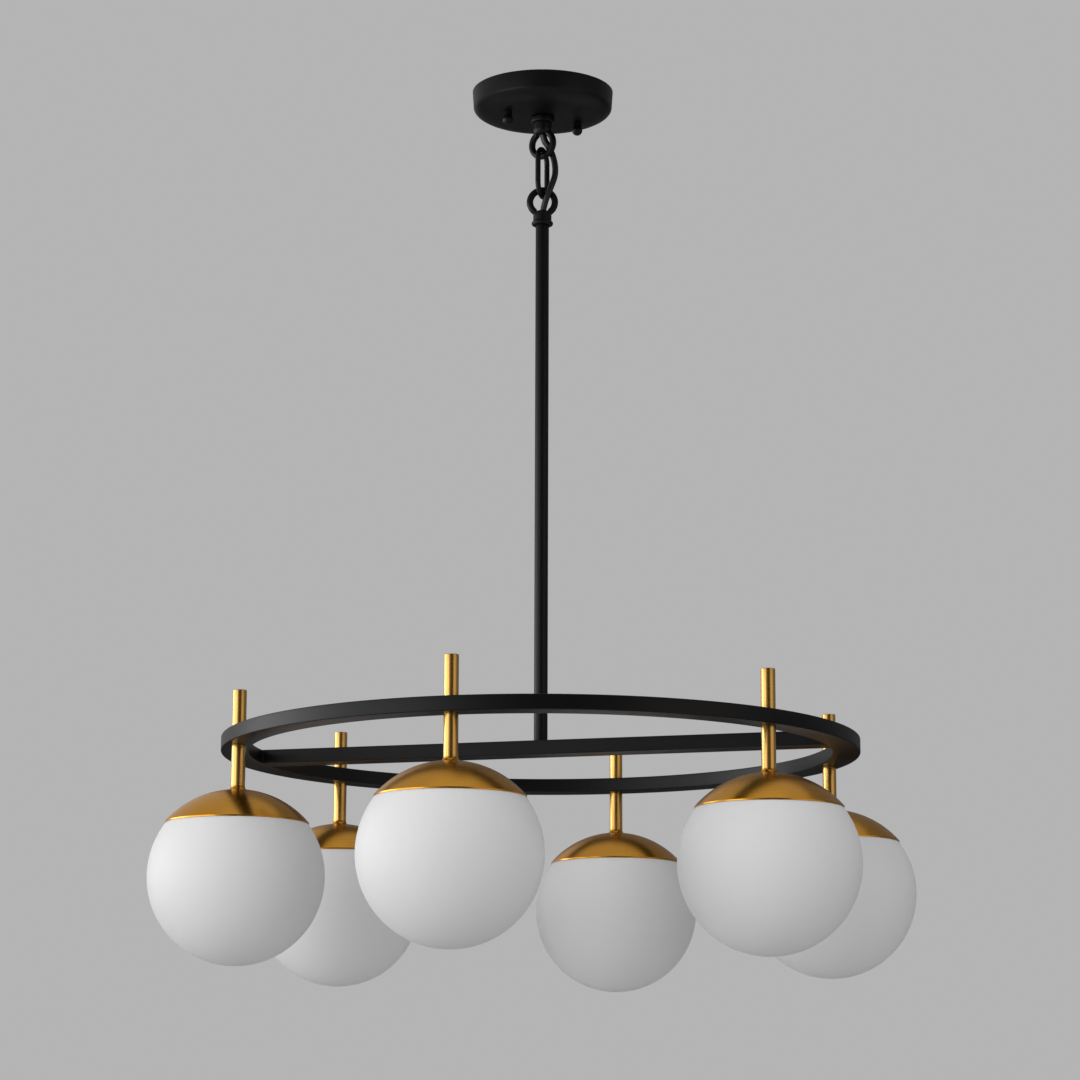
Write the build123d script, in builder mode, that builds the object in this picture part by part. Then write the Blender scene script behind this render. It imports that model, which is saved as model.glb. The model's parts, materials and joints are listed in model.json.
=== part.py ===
from build123d import *

import os
from math import cos, pi, radians, sin, sqrt, tan

# Six-light ring pendant, in millimetres with +Z up. The origin is on the ceiling, on the rod's axis,
# and the crossbar lies along X. From the top: canopy, loop, chain link, loop, down rod, ring, six lamps.

os.makedirs("parts", exist_ok=True)

# Clearances
FIT = 0.05  # radial, round a thread or a slid fit
SEAT = 0.1  # between pieces of one body that bear on each other
PLAY = 0.4  # between round pieces that move on each other

# Ceiling plate and canopy
CANOPY_D = 127.0
CANOPY_H = 23.5
CANOPY_WALL = 1.2
CANOPY_TAPER = 1.0  # how much the side leans in from rim to shoulder
SHOULDER_W = 22.0  # the quarter ellipse between the side and the flat bottom
SHOULDER_H = 9.0
STRAP_L = 106.0
STRAP_W = 22.0
STRAP_T = 2.5
STRAP_TURN = 41.5  # the strap and the thumb nuts, turned from the crossbar
STRAP_HOLE_D = 16.0  # for the house wires
BOX_SCREW_SPACING = 88.9
BOX_SCREW_HOLE_D = 5.0
STUD_SPACING = 69.85
STUD_D = 4.0
STUD_HOLE_D = 5.0
STUD_IN_NUT = 8.0
NUT_H = 12.0
NUT_BALL_D = 9.4
NUT_NECK_D = 7.6
GROUND_SCREW_D = 4.8
GROUND_HEAD_D = 9.0
GROUND_HEAD_H = 3.0
GROUND_SCREW_X = 18.0

# Threaded tube that joins the pieces, and its locknuts
NIPPLE_D = 10.0
NIPPLE_BORE = 8.0
NIPPLE_END = 4.0  # its end past a locknut
LOCKNUT_AF = 14.0  # across flats
LOCKNUT_H = 4.0

# Collar, loops and chain link
COLLAR_D = 20.8
COLLAR_H = 5.5
COLLAR_EDGE = 1.0
LOOP_R = 11.2  # middle of the wire
LOOP_WIRE = 6.0
LOOP_NECK_D = 16.5
LOOP_NECK_ROUND = 5.0
LOOP_THREAD = 7.5  # depth of the threaded hole in a loop
CORD_BORE = 8.0
BORE_FLARE = 1.5
CANOPY_LOOP_DROP = 20.0  # from the collar to the ring's centre
CANOPY_LOOP_TURN = -17.5
ROD_LOOP_RISE = 22.0  # from the rod's top to the ring's centre
ROD_LOOP_TURN = 15.5
FLANGE_D = 19.5
FLANGE_H = 4.0
LINK_W = 23.0  # between the middles of the two legs
LINK_WIRE = 4.8
LINK_STRAIGHT = 20.8  # straight part of a leg
LINK_TURN = 85.0
LINK_SEAM = 0.5  # the gap where the wire's ends meet
LINK_SEAM_DROP = 2.0  # below the top of the straight part

# Down rod, ring and crossbar
TUBE_D = 12.0  # rod and stems
ROD_L = 467.5
ROD_THREAD = 18.0  # nipple's length inside the rod
RING_R = 265.3  # middle of the tube, where the stems stand
RING_W = 24.0
RING_H = 12.5
RING_WALL = 1.2
LEAD_HOLE_D = 7.0

# Lamps
LAMPS = 6
FIRST_LAMP = 30.0
FINIAL_H = 34.5
FINIAL_TOP = 4.0  # the solid end above the bore
FINIAL_EDGE = 0.6
SLEEVE_H = 35.3
GLOBE_D = 150.0
GLASS = 3.0
GLASS_EDGE = 2.5
GLASS_NECK_D = 84.0
GLASS_NECK_H = 9.5
SHOULDER_IN_CAP = 5.0  # how far the glass shoulder stands above the cap's rim
CAP_WALL = 0.8
CAP_RIM = 44.5  # above the middle of the globe
CAP_SEAT_H = 0.7
CAP_SEAT_FOOT = 2.0  # the seat's slope beyond the sleeve
GALLERY_WALL = 1.0
GALLERY_SKIRT = 10.0
HOLDER_D = 36.0
HOLDER_H = 36.0
HOLDER_BOSS_D = 22.0
HOLDER_BOSS_H = 8.0
HOLDER_SLOPE = 3.0  # from the boss out to the body
HOLDER_THREAD = 6.0
LAMP_BASE_D = 26.0
LAMP_BASE_L = 22.0
LAMP_TIP_D = 12.0
LAMP_TIP_L = 2.5
LAMP_NECK_D = 29.0
LAMP_BALL_D = 45.0
LAMP_L = 54.0  # below the lampholder's mouth

# Supply cord and leads
CORD_D = 5.6
LEAD_D = 3.0
SUPPLY_TOP = -6.0
CORD_TOP = -30.0
CORD_END = -125.0
CORD_JOINT = (10.9, 3.2, -70.2)  # where its two lengths meet beside the link
BEND_SHARE = 0.45  # the part of a straight run that a bend takes up

# Heights from the ceiling down
canopy_bottom = -CANOPY_H
canopy_floor = canopy_bottom + CANOPY_WALL
collar_bottom = canopy_bottom - COLLAR_H
canopy_ring_z = collar_bottom - CANOPY_LOOP_DROP
loop_hole_r = LOOP_R - LOOP_WIRE / 2
link_inner_r = (LINK_W - LINK_WIRE) / 2
link_top_z = canopy_ring_z - loop_hole_r + PLAY - link_inner_r
link_bottom_z = link_top_z - LINK_STRAIGHT
rod_ring_z = link_bottom_z - link_inner_r + PLAY - loop_hole_r
rod_top = rod_ring_z - ROD_LOOP_RISE
rod_bottom = rod_top - ROD_L
ring_z = rod_bottom - RING_H / 2
ring_bottom = ring_z - RING_H / 2
ring_inner_r = RING_R - RING_W / 2

# Radii shared by the fits
nipple_r = NIPPLE_D / 2
nipple_hole_r = nipple_r + FIT
tube_r = TUBE_D / 2
cord_r = CORD_D / 2
locknut_r = LOCKNUT_AF / sqrt(3)

# Lamp levels, measured from the middle of the globe
globe_r = GLOBE_D / 2
globe_in = globe_r - GLASS
cap_in = globe_r + PLAY
cap_out = cap_in + CAP_WALL
cap_seat = cap_out + CAP_SEAT_H
shoulder = CAP_RIM + SHOULDER_IN_CAP
glass_neck_top = shoulder + GLASS_NECK_H
glass_neck_r = GLASS_NECK_D / 2
skirt_in = glass_neck_r + PLAY
skirt_out = skirt_in + GALLERY_WALL
gallery_top = sqrt(cap_in**2 - skirt_out**2) - SEAT
gallery_under = gallery_top - GALLERY_WALL
holder_top = gallery_under - LOCKNUT_H
holder_mouth = holder_top - HOLDER_H
globe_z = ring_bottom - SLEEVE_H - cap_seat


def upright_plane(turn, origin):
    """An upright plane through a point, its x axis turned about Z by an angle in degrees."""
    angle = radians(turn)
    return Plane(origin=origin, x_dir=(cos(angle), sin(angle), 0), z_dir=(sin(angle), -cos(angle), 0))


def save(part, name):
    """Label a finished piece and write it."""
    part.label = name
    export_step(part, f"parts/{name}.step")


def sphere_height(radius, across):
    """Height on a sphere at a distance from its upright axis."""
    return sqrt(radius**2 - across**2)


# Planes of the strap, the loops and the link
strap_plane = Plane.XY.rotated((0, 0, STRAP_TURN))
canopy_loop_plane = upright_plane(CANOPY_LOOP_TURN, (0, 0, canopy_ring_z))
rod_loop_plane = upright_plane(ROD_LOOP_TURN, (0, 0, rod_ring_z))
link_plane = upright_plane(LINK_TURN, (0, 0, (link_top_z + link_bottom_z) / 2))

# Mounting strap: flat bar with the box-screw holes, the stud holes and a hole for the wires
with BuildPart() as mounting_strap:
    with BuildSketch(strap_plane.offset(-STRAP_T)):
        SlotOverall(STRAP_L, STRAP_W)
        Circle(STRAP_HOLE_D / 2, mode=Mode.SUBTRACT)
        with GridLocations(BOX_SCREW_SPACING, 0, 2, 1):
            Circle(BOX_SCREW_HOLE_D / 2, mode=Mode.SUBTRACT)
        with GridLocations(STUD_SPACING, 0, 2, 1):
            Circle(STUD_D / 2 + FIT, mode=Mode.SUBTRACT)
        with Locations((GROUND_SCREW_X, 0)):
            Circle(GROUND_SCREW_D / 2 + FIT, mode=Mode.SUBTRACT)
    extrude(amount=STRAP_T)
save(mounting_strap.part, "mounting_strap")

# Canopy studs: two threaded pins from the strap into the thumb nuts
with BuildPart() as canopy_studs:
    with BuildSketch(strap_plane):
        with GridLocations(STUD_SPACING, 0, 2, 1):
            Circle(STUD_D / 2)
    extrude(amount=-(CANOPY_H + STUD_IN_NUT))
save(canopy_studs.part, "canopy_studs")

# Ground screw under the strap
with BuildPart() as ground_screw:
    with BuildSketch(strap_plane.offset(-STRAP_T)):
        with Locations((GROUND_SCREW_X, 0)):
            RegularPolygon(GROUND_HEAD_D / 2, 6)
    extrude(amount=-GROUND_HEAD_H)
    with BuildSketch(strap_plane.offset(-STRAP_T)):
        with Locations((GROUND_SCREW_X, 0)):
            Circle(GROUND_SCREW_D / 2)
    extrude(amount=STRAP_T)
save(ground_screw.part, "ground_screw")

# Canopy: a spun shell, its side leaning in slightly, with an elliptical shoulder and a flat bottom
side_top = CANOPY_D / 2
side_low = side_top - CANOPY_TAPER
with BuildPart() as canopy:
    with BuildSketch(Plane.XZ):
        with BuildLine():
            outer_side = Line((side_top, 0), (side_low, canopy_bottom + SHOULDER_H))
            outer_shoulder = EllipticalCenterArc(
                (side_low - SHOULDER_W, canopy_bottom + SHOULDER_H), SHOULDER_W, SHOULDER_H, 0, arc_size=-90
            )
            Polyline(
                outer_shoulder @ 1,
                (nipple_hole_r, canopy_bottom),
                (nipple_hole_r, canopy_floor),
                (side_low - SHOULDER_W, canopy_floor),
            )
            inner_shoulder = EllipticalCenterArc(
                (side_low - SHOULDER_W, canopy_bottom + SHOULDER_H),
                SHOULDER_W - CANOPY_WALL,
                SHOULDER_H - CANOPY_WALL,
                0,
                arc_size=-90,
            )
            Polyline(inner_shoulder @ 0, (side_top - CANOPY_WALL, 0), outer_side @ 0)
        make_face()
    revolve(axis=Axis.Z)
    with BuildSketch(strap_plane.offset(canopy_bottom)):
        with GridLocations(STUD_SPACING, 0, 2, 1):
            Circle(STUD_HOLE_D / 2)
    extrude(amount=CANOPY_WALL, mode=Mode.SUBTRACT)
save(canopy.part, "canopy")

# Thumb nuts: a short neck and a ball, with a blind hole for the stud
for number, side in ((1, -1), (2, 1)):
    nut_at = strap_plane.from_local_coords((side * STUD_SPACING / 2, 0, canopy_bottom))
    with BuildPart() as canopy_nut:
        with BuildSketch(upright_plane(STRAP_TURN, nut_at)):
            with BuildLine():
                neck_r = NUT_NECK_D / 2
                ball_r = NUT_BALL_D / 2
                ball_z = ball_r - NUT_H
                waist = (neck_r, ball_z + sphere_height(ball_r, neck_r))
                Polyline((0, -NUT_H), (0, 0), (neck_r, 0), waist)
                ThreePointArc(waist, (ball_r, ball_z), (0, -NUT_H))
            make_face()
        revolve(axis=Axis(nut_at, (0, 0, 1)))
        with BuildSketch(Plane(origin=nut_at)):
            Circle(STUD_D / 2 + FIT)
        extrude(amount=-(STUD_IN_NUT + SEAT), mode=Mode.SUBTRACT)
    save(canopy_nut.part, f"canopy_nut_{number}")

# Canopy nipple, its locknut inside the canopy and the collar outside
with BuildPart() as canopy_nipple:
    with BuildSketch(Plane.XY.offset(collar_bottom - LOOP_THREAD + SEAT)):
        Circle(nipple_r)
        Circle(NIPPLE_BORE / 2, mode=Mode.SUBTRACT)
    extrude(amount=COLLAR_H + LOOP_THREAD - SEAT + CANOPY_WALL + LOCKNUT_H + NIPPLE_END)
save(canopy_nipple.part, "canopy_nipple")

with BuildPart() as canopy_locknut:
    with BuildSketch(Plane.XY.offset(canopy_floor)):
        RegularPolygon(locknut_r, 6)
        Circle(nipple_hole_r, mode=Mode.SUBTRACT)
    extrude(amount=LOCKNUT_H)
save(canopy_locknut.part, "canopy_locknut")

with BuildPart() as canopy_collar:
    with BuildSketch(Plane.XY.offset(collar_bottom)):
        Circle(COLLAR_D / 2)
        Circle(nipple_hole_r, mode=Mode.SUBTRACT)
    extrude(amount=COLLAR_H)
    chamfer(canopy_collar.edges().filter_by(GeomType.CIRCLE).sort_by(SortBy.RADIUS)[-2:], COLLAR_EDGE)
save(canopy_collar.part, "canopy_collar")

# Canopy loop: a cast ring under a neck that is threaded for the nipple and flared for the cord
canopy_neck_low = canopy_ring_z + loop_hole_r - SEAT
with BuildPart(canopy_loop_plane) as canopy_loop:
    Torus(LOOP_R, LOOP_WIRE / 2)
    with BuildSketch(Plane.XZ):
        with BuildLine():
            neck = Polyline(
                (0, canopy_neck_low),
                (0, collar_bottom),
                (LOOP_NECK_D / 2, collar_bottom),
                (LOOP_NECK_D / 2, canopy_neck_low + LOOP_NECK_ROUND),
            )
            RadiusArc(neck @ 1, (LOOP_NECK_D / 2 - LOOP_NECK_ROUND, canopy_neck_low), LOOP_NECK_ROUND)
            Line((LOOP_NECK_D / 2 - LOOP_NECK_ROUND, canopy_neck_low), neck @ 0)
        make_face()
    revolve(axis=Axis.Z)
    with BuildSketch(Plane.XZ):
        with BuildLine():
            Polyline(
                (0, collar_bottom),
                (nipple_hole_r, collar_bottom),
                (nipple_hole_r, collar_bottom - LOOP_THREAD),
                (CORD_BORE / 2, collar_bottom - LOOP_THREAD),
                (CORD_BORE / 2, canopy_neck_low + BORE_FLARE),
                (CORD_BORE / 2 + 2 * BORE_FLARE, canopy_neck_low - BORE_FLARE),
                (0, canopy_neck_low - BORE_FLARE),
                close=True,
            )
        make_face()
    revolve(axis=Axis.Z, mode=Mode.SUBTRACT)
save(canopy_loop.part, "canopy_loop")

# Chain link: one wire bent to an oval, open at a seam in one leg
with BuildPart() as chain_link:
    with BuildLine(link_plane) as link_wire:
        leg = LINK_W / 2
        half = LINK_STRAIGHT / 2
        seam_top = half - LINK_SEAM_DROP
        Line((leg, seam_top - LINK_SEAM), (leg, -half))
        CenterArc((0, -half), leg, 0, -180)
        Line((-leg, -half), (-leg, half))
        CenterArc((0, half), leg, 180, -180)
        Line((leg, half), (leg, seam_top))
    with BuildSketch(Plane(origin=link_wire.line @ 0, z_dir=link_wire.line % 0)):
        Circle(LINK_WIRE / 2)
    sweep()
save(chain_link.part, "chain_link")

# Rod loop: the same ring, standing on a neck with a rounded flange
rod_neck_high = rod_ring_z - loop_hole_r + SEAT
flange_top = rod_top + FLANGE_H
with BuildPart(rod_loop_plane) as rod_loop:
    Torus(LOOP_R, LOOP_WIRE / 2)
    with BuildSketch(Plane.XZ):
        with BuildLine():
            neck_r = LOOP_NECK_D / 2
            bead_r = (FLANGE_D - FLANGE_H) / 2
            Line((0, rod_neck_high), (neck_r - LOOP_NECK_ROUND, rod_neck_high))
            RadiusArc(
                (neck_r - LOOP_NECK_ROUND, rod_neck_high),
                (neck_r, rod_neck_high - LOOP_NECK_ROUND),
                LOOP_NECK_ROUND,
            )
            Polyline((neck_r, rod_neck_high - LOOP_NECK_ROUND), (neck_r, flange_top), (bead_r, flange_top))
            ThreePointArc((bead_r, flange_top), (FLANGE_D / 2, rod_top + FLANGE_H / 2), (bead_r, rod_top))
            Polyline((bead_r, rod_top), (0, rod_top), (0, rod_neck_high))
        make_face()
    revolve(axis=Axis.Z)
    with BuildSketch(Plane.XZ):
        with BuildLine():
            Polyline(
                (0, rod_top),
                (nipple_hole_r, rod_top),
                (nipple_hole_r, rod_top + LOOP_THREAD),
                (CORD_BORE / 2, rod_top + LOOP_THREAD),
                (CORD_BORE / 2, rod_neck_high - BORE_FLARE),
                (CORD_BORE / 2 + 2 * BORE_FLARE, rod_neck_high + BORE_FLARE),
                (0, rod_neck_high + BORE_FLARE),
                close=True,
            )
        make_face()
    revolve(axis=Axis.Z, mode=Mode.SUBTRACT)
save(rod_loop.part, "rod_loop")

# Down rod, the nipples at its two ends and the locknut inside the crossbar
with BuildPart() as down_rod:
    with BuildSketch(Plane.XY.offset(rod_bottom)):
        Circle(tube_r)
        Circle(nipple_hole_r, mode=Mode.SUBTRACT)
    extrude(amount=ROD_L)
save(down_rod.part, "down_rod")

crossbar_ceiling = rod_bottom - RING_WALL
with BuildPart() as rod_nipples:
    with BuildSketch(Plane.XY.offset(rod_top - ROD_THREAD)):
        Circle(nipple_r)
        Circle(NIPPLE_BORE / 2, mode=Mode.SUBTRACT)
    extrude(amount=ROD_THREAD + LOOP_THREAD - SEAT)
    with BuildSketch(Plane.XY.offset(crossbar_ceiling - LOCKNUT_H)):
        Circle(nipple_r)
        Circle(NIPPLE_BORE / 2, mode=Mode.SUBTRACT)
    extrude(amount=ROD_THREAD + RING_WALL + LOCKNUT_H)
save(rod_nipples.part, "rod_nipples")

with BuildPart() as rod_locknut:
    with BuildSketch(Plane.XY.offset(crossbar_ceiling - LOCKNUT_H)):
        RegularPolygon(locknut_r, 6)
        Circle(nipple_hole_r, mode=Mode.SUBTRACT)
    extrude(amount=LOCKNUT_H)
save(rod_locknut.part, "rod_locknut")

# Ring: rectangular tube rolled to a circle, drilled for the stems and, inside, for the crossbar's leads
with BuildPart() as ring:
    with BuildSketch(Plane.XZ):
        with Locations((RING_R, ring_z)):
            Rectangle(RING_W, RING_H)
            Rectangle(RING_W - 2 * RING_WALL, RING_H - 2 * RING_WALL, mode=Mode.SUBTRACT)
    revolve(axis=Axis.Z)
    with BuildSketch(Plane.XY.offset(ring_bottom)):
        with PolarLocations(RING_R, LAMPS, FIRST_LAMP):
            Circle(nipple_hole_r)
    extrude(amount=RING_H, mode=Mode.SUBTRACT)
    with BuildSketch(Plane.YZ):
        with Locations((0, ring_z)):
            Circle(LEAD_HOLE_D / 2)
    extrude(amount=ring_inner_r + RING_WALL + SEAT, both=True, mode=Mode.SUBTRACT)
save(ring.part, "ring")

# Crossbar: the same tube, its ends rounded to the ring's inner wall, with a hole for the rod's nipple
with BuildPart() as crossbar:
    with BuildSketch(Plane.YZ):
        with Locations((0, ring_z)):
            Rectangle(RING_W, RING_H)
            Rectangle(RING_W - 2 * RING_WALL, RING_H - 2 * RING_WALL, mode=Mode.SUBTRACT)
    extrude(amount=ring_inner_r, both=True)
    with BuildSketch(Plane.XY.offset(ring_bottom)):
        Circle(ring_inner_r - FIT)
    extrude(amount=RING_H, mode=Mode.INTERSECT)
    with BuildSketch(Plane.XY.offset(crossbar_ceiling)):
        Circle(nipple_hole_r)
    extrude(amount=RING_WALL, mode=Mode.SUBTRACT)
save(crossbar.part, "crossbar")

# Stem nipples: threaded tubes from the finials through the ring, the sleeves and the caps to the lampholders
finial_bore = FINIAL_H - FINIAL_TOP
nipple_low = globe_z + holder_top - HOLDER_THREAD + SEAT
nipple_high = rod_bottom + finial_bore - SEAT
with BuildPart() as stem_nipples:
    with BuildSketch(Plane.XY.offset(nipple_low)):
        with PolarLocations(RING_R, LAMPS, FIRST_LAMP):
            Circle(nipple_r)
            Circle(NIPPLE_BORE / 2, mode=Mode.SUBTRACT)
    extrude(amount=nipple_high - nipple_low)
save(stem_nipples.part, "stem_nipples")

# Galleries: pans inside the caps whose skirts are threaded for the glass necks, each with its nut
with BuildPart() as galleries:
    with BuildSketch(Plane.XY.offset(globe_z + gallery_under)):
        with PolarLocations(RING_R, LAMPS, FIRST_LAMP):
            Circle(skirt_out)
            Circle(nipple_hole_r, mode=Mode.SUBTRACT)
    extrude(amount=GALLERY_WALL)
    with BuildSketch(Plane.XY.offset(globe_z + gallery_under - GALLERY_SKIRT)):
        with PolarLocations(RING_R, LAMPS, FIRST_LAMP):
            Circle(skirt_out)
            Circle(skirt_in, mode=Mode.SUBTRACT)
    extrude(amount=GALLERY_SKIRT)
save(galleries.part, "galleries")

with BuildPart() as gallery_nuts:
    with BuildSketch(Plane.XY.offset(globe_z + holder_top)):
        with PolarLocations(RING_R, LAMPS, FIRST_LAMP):
            RegularPolygon(locknut_r, 6)
            Circle(nipple_hole_r, mode=Mode.SUBTRACT)
    extrude(amount=LOCKNUT_H)
save(gallery_nuts.part, "gallery_nuts")

for number in range(1, LAMPS + 1):
    turn = FIRST_LAMP + (number - 1) * 360 / LAMPS
    middle = upright_plane(turn, (0, 0, globe_z)).from_local_coords((RING_R, 0, 0))
    section = upright_plane(turn, middle)
    upright = Axis(middle, (0, 0, 1))
    level = Plane(origin=middle)

    # Finial: a brass tube closed at the top, screwed down on the ring
    with BuildPart() as finial:
        with BuildSketch(level.offset(rod_bottom - globe_z)):
            Circle(tube_r)
        extrude(amount=FINIAL_H)
        chamfer(finial.edges().sort_by(Axis.Z)[-1], FINIAL_EDGE)
        with BuildSketch(level.offset(rod_bottom - globe_z)):
            Circle(nipple_hole_r)
        extrude(amount=finial_bore, mode=Mode.SUBTRACT)
    save(finial.part, f"finial_{number}")

    # Sleeve: a brass tube between the ring and the cap
    with BuildPart() as sleeve:
        with BuildSketch(level.offset(cap_seat)):
            Circle(tube_r)
            Circle(nipple_hole_r, mode=Mode.SUBTRACT)
        extrude(amount=SLEEVE_H)
    save(sleeve.part, f"sleeve_{number}")

    # Cap: a spun dome that follows the globe, with a small raised seat for the sleeve
    with BuildPart() as cap:
        with BuildSketch(section):
            with BuildLine():
                foot_r = tube_r + CAP_SEAT_FOOT
                outer_rim = (sphere_height(cap_out, CAP_RIM), CAP_RIM)
                inner_rim = (sphere_height(cap_in, CAP_RIM), CAP_RIM)
                outer_top = (foot_r, sphere_height(cap_out, foot_r))
                inner_top = (nipple_hole_r, sphere_height(cap_in, nipple_hole_r))
                RadiusArc(outer_rim, outer_top, -cap_out)
                Polyline(outer_top, (tube_r, cap_seat), (nipple_hole_r, cap_seat), inner_top)
                RadiusArc(inner_rim, inner_top, -cap_in)
                Line(inner_rim, outer_rim)
            make_face()
        revolve(axis=upright)
    save(cap.part, f"cap_{number}")

    # Lampholder: a turned porcelain body with a boss for the nipple and a socket for the lamp
    with BuildPart() as lampholder:
        with BuildSketch(section):
            with BuildLine():
                socket_top = holder_mouth + LAMP_BASE_L + LAMP_TIP_L + PLAY
                Polyline(
                    (nipple_hole_r, holder_top),
                    (HOLDER_BOSS_D / 2, holder_top),
                    (HOLDER_BOSS_D / 2, holder_top - HOLDER_BOSS_H + HOLDER_SLOPE),
                    (HOLDER_D / 2, holder_top - HOLDER_BOSS_H),
                    (HOLDER_D / 2, holder_mouth),
                    (LAMP_BASE_D / 2 + PLAY, holder_mouth),
                    (LAMP_BASE_D / 2 + PLAY, socket_top),
                    (NIPPLE_BORE / 2, socket_top),
                    (NIPPLE_BORE / 2, holder_top - HOLDER_THREAD),
                    (nipple_hole_r, holder_top - HOLDER_THREAD),
                    close=True,
                )
            make_face()
        revolve(axis=upright)
    save(lampholder.part, f"lampholder_{number}")

    # Lamp: screw base, tip contact, a flared neck and a round envelope
    with BuildPart() as bulb:
        with BuildSketch(section):
            with BuildLine():
                ball_r = LAMP_BALL_D / 2
                ball_z = holder_mouth - LAMP_L + ball_r
                neck_r = LAMP_NECK_D / 2
                base_top = holder_mouth + LAMP_BASE_L
                joint = (neck_r, ball_z + sphere_height(ball_r, neck_r))
                Polyline(
                    joint,
                    (neck_r, holder_mouth - PLAY),
                    (LAMP_BASE_D / 2, holder_mouth - PLAY),
                    (LAMP_BASE_D / 2, base_top),
                    (LAMP_TIP_D / 2, base_top + LAMP_TIP_L),
                    (0, base_top + LAMP_TIP_L),
                    (0, ball_z - ball_r),
                )
                ThreePointArc((0, ball_z - ball_r), (ball_r, ball_z), joint)
            make_face()
        revolve(axis=upright)
    save(bulb.part, f"bulb_{number}")

    # Globe: blown glass with a flat shoulder inside the cap and a neck that screws into the gallery
    with BuildPart() as globe:
        with BuildSketch(section) as globe_section:
            with BuildLine():
                shoulder_in = shoulder - GLASS
                outer_shoulder = (sphere_height(globe_r, shoulder), shoulder)
                inner_shoulder = (sphere_height(globe_in, shoulder_in), shoulder_in)
                ThreePointArc((0, -globe_r), (globe_r, 0), outer_shoulder)
                Polyline(
                    outer_shoulder,
                    (glass_neck_r, shoulder),
                    (glass_neck_r, glass_neck_top),
                    (glass_neck_r - GLASS, glass_neck_top),
                    (glass_neck_r - GLASS, shoulder_in),
                    inner_shoulder,
                )
                ThreePointArc(inner_shoulder, (globe_in, 0), (0, -globe_in))
                Line((0, -globe_in), (0, -globe_r))
            make_face()
            fillet(globe_section.vertices().sort_by_distance((*outer_shoulder, 0))[0], GLASS_EDGE)
        revolve(axis=upright)
    save(globe.part, f"globe_{number}")

# Leads: down the rod, along the crossbar and round the ring's tube
lead_z = ring_bottom + RING_WALL + LEAD_D / 2 + SEAT
lead_side = RING_W / 2 - RING_WALL - LEAD_D / 2 - SEAT
with BuildPart() as lamp_leads:
    with BuildSketch(Plane.XY.offset(rod_bottom - RING_WALL - LOCKNUT_H)):
        Circle(cord_r)
    extrude(amount=CORD_END - rod_bottom + RING_WALL + LOCKNUT_H)
    with BuildSketch(Plane.YZ):
        with Locations((-lead_side, lead_z), (lead_side, lead_z)):
            Circle(LEAD_D / 2)
    extrude(amount=ring_inner_r - RING_WALL, both=True)
    with BuildSketch(Plane.XZ):
        with Locations((RING_R + lead_side, lead_z)):
            Circle(LEAD_D / 2)
    revolve(axis=Axis.Z)
save(lamp_leads.part, "lamp_leads")

# Supply lead inside the canopy and its nipple
with BuildPart() as supply_lead:
    with BuildSketch(Plane.XY.offset(CORD_TOP)):
        Circle(cord_r)
    extrude(amount=SUPPLY_TOP - CORD_TOP)
save(supply_lead.part, "supply_lead")

# Supply cord from loop to loop, in two lengths that meet beside the link. It leaves the canopy loop behind
# the ring, bows out past the link and comes back in front of the lower ring.
upper_route = [
    (0, 0, CORD_TOP),
    (0, 0, -42.5),
    (5.9, 3.2, -52),
    (9.9, 4.6, -63.5),
    CORD_JOINT,
]
lower_route = [
    CORD_JOINT,
    (11.9, 1.8, -76.9),
    (10.2, -4.4, -89),
    (5.1, -4.8, -100.8),
    (0, 0, -113),
    (0, 0, CORD_END),
]


def bend_radii(points):
    """The largest radius that each corner of a cord's route leaves room for."""
    radii = []
    for before, at, after in zip(points, points[1:], points[2:]):
        run_in = Vector(*at) - Vector(*before)
        run_out = Vector(*after) - Vector(*at)
        turn = radians(run_in.get_angle(run_out))
        radii.append(BEND_SHARE * min(run_in.length, run_out.length) / tan(turn / 2))
    return radii


for name, route in (("cord_upper", upper_route), ("cord_lower", lower_route)):
    radii = bend_radii(route)
    with BuildPart() as cord:
        with BuildLine() as cord_path:
            FilletPolyline(*route, radius=radii)
        with BuildSketch(Plane(origin=cord_path.line @ 0, z_dir=cord_path.line % 0)):
            Circle(cord_r)
        sweep()
    length = cord_path.wire().length
    share = cord.part.volume / (pi * cord_r**2 * length)
    print(name, "radii", [round(r, 1) for r in radii], "length", round(length, 1), "share", round(share, 4))
    save(cord.part, name)
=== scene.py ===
"""Dresses a ring pendant light: turned brass, opal glass, powder-coated steel and its supply cord.

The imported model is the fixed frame, and every piece is made in metres in the frame's own place.
"""

import json
import math

import bmesh
import bpy
from bpy.props import FloatProperty, FloatVectorProperty, IntProperty, PointerProperty
from mathutils import Matrix, Vector


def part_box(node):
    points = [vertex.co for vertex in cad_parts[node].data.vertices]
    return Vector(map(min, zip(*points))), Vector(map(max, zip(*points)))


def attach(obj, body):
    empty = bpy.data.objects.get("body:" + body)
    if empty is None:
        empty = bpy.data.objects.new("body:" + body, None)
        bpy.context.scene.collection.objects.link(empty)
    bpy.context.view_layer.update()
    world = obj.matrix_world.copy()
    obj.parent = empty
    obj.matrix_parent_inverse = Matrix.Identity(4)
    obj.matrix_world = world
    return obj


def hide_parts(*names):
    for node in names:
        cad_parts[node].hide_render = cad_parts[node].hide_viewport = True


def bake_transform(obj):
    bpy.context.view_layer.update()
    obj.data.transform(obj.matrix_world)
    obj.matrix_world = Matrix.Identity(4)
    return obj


bl_info = {
    "name": "Ring Pendant Light",
    "version": (1, 0, 0),
    "blender": (4, 5, 0),
    "location": "View3D > Sidebar > Pendant",
    "description": "Dresses a ring pendant light with brass stems and opal globes",
    "category": "Object",
}

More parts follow.
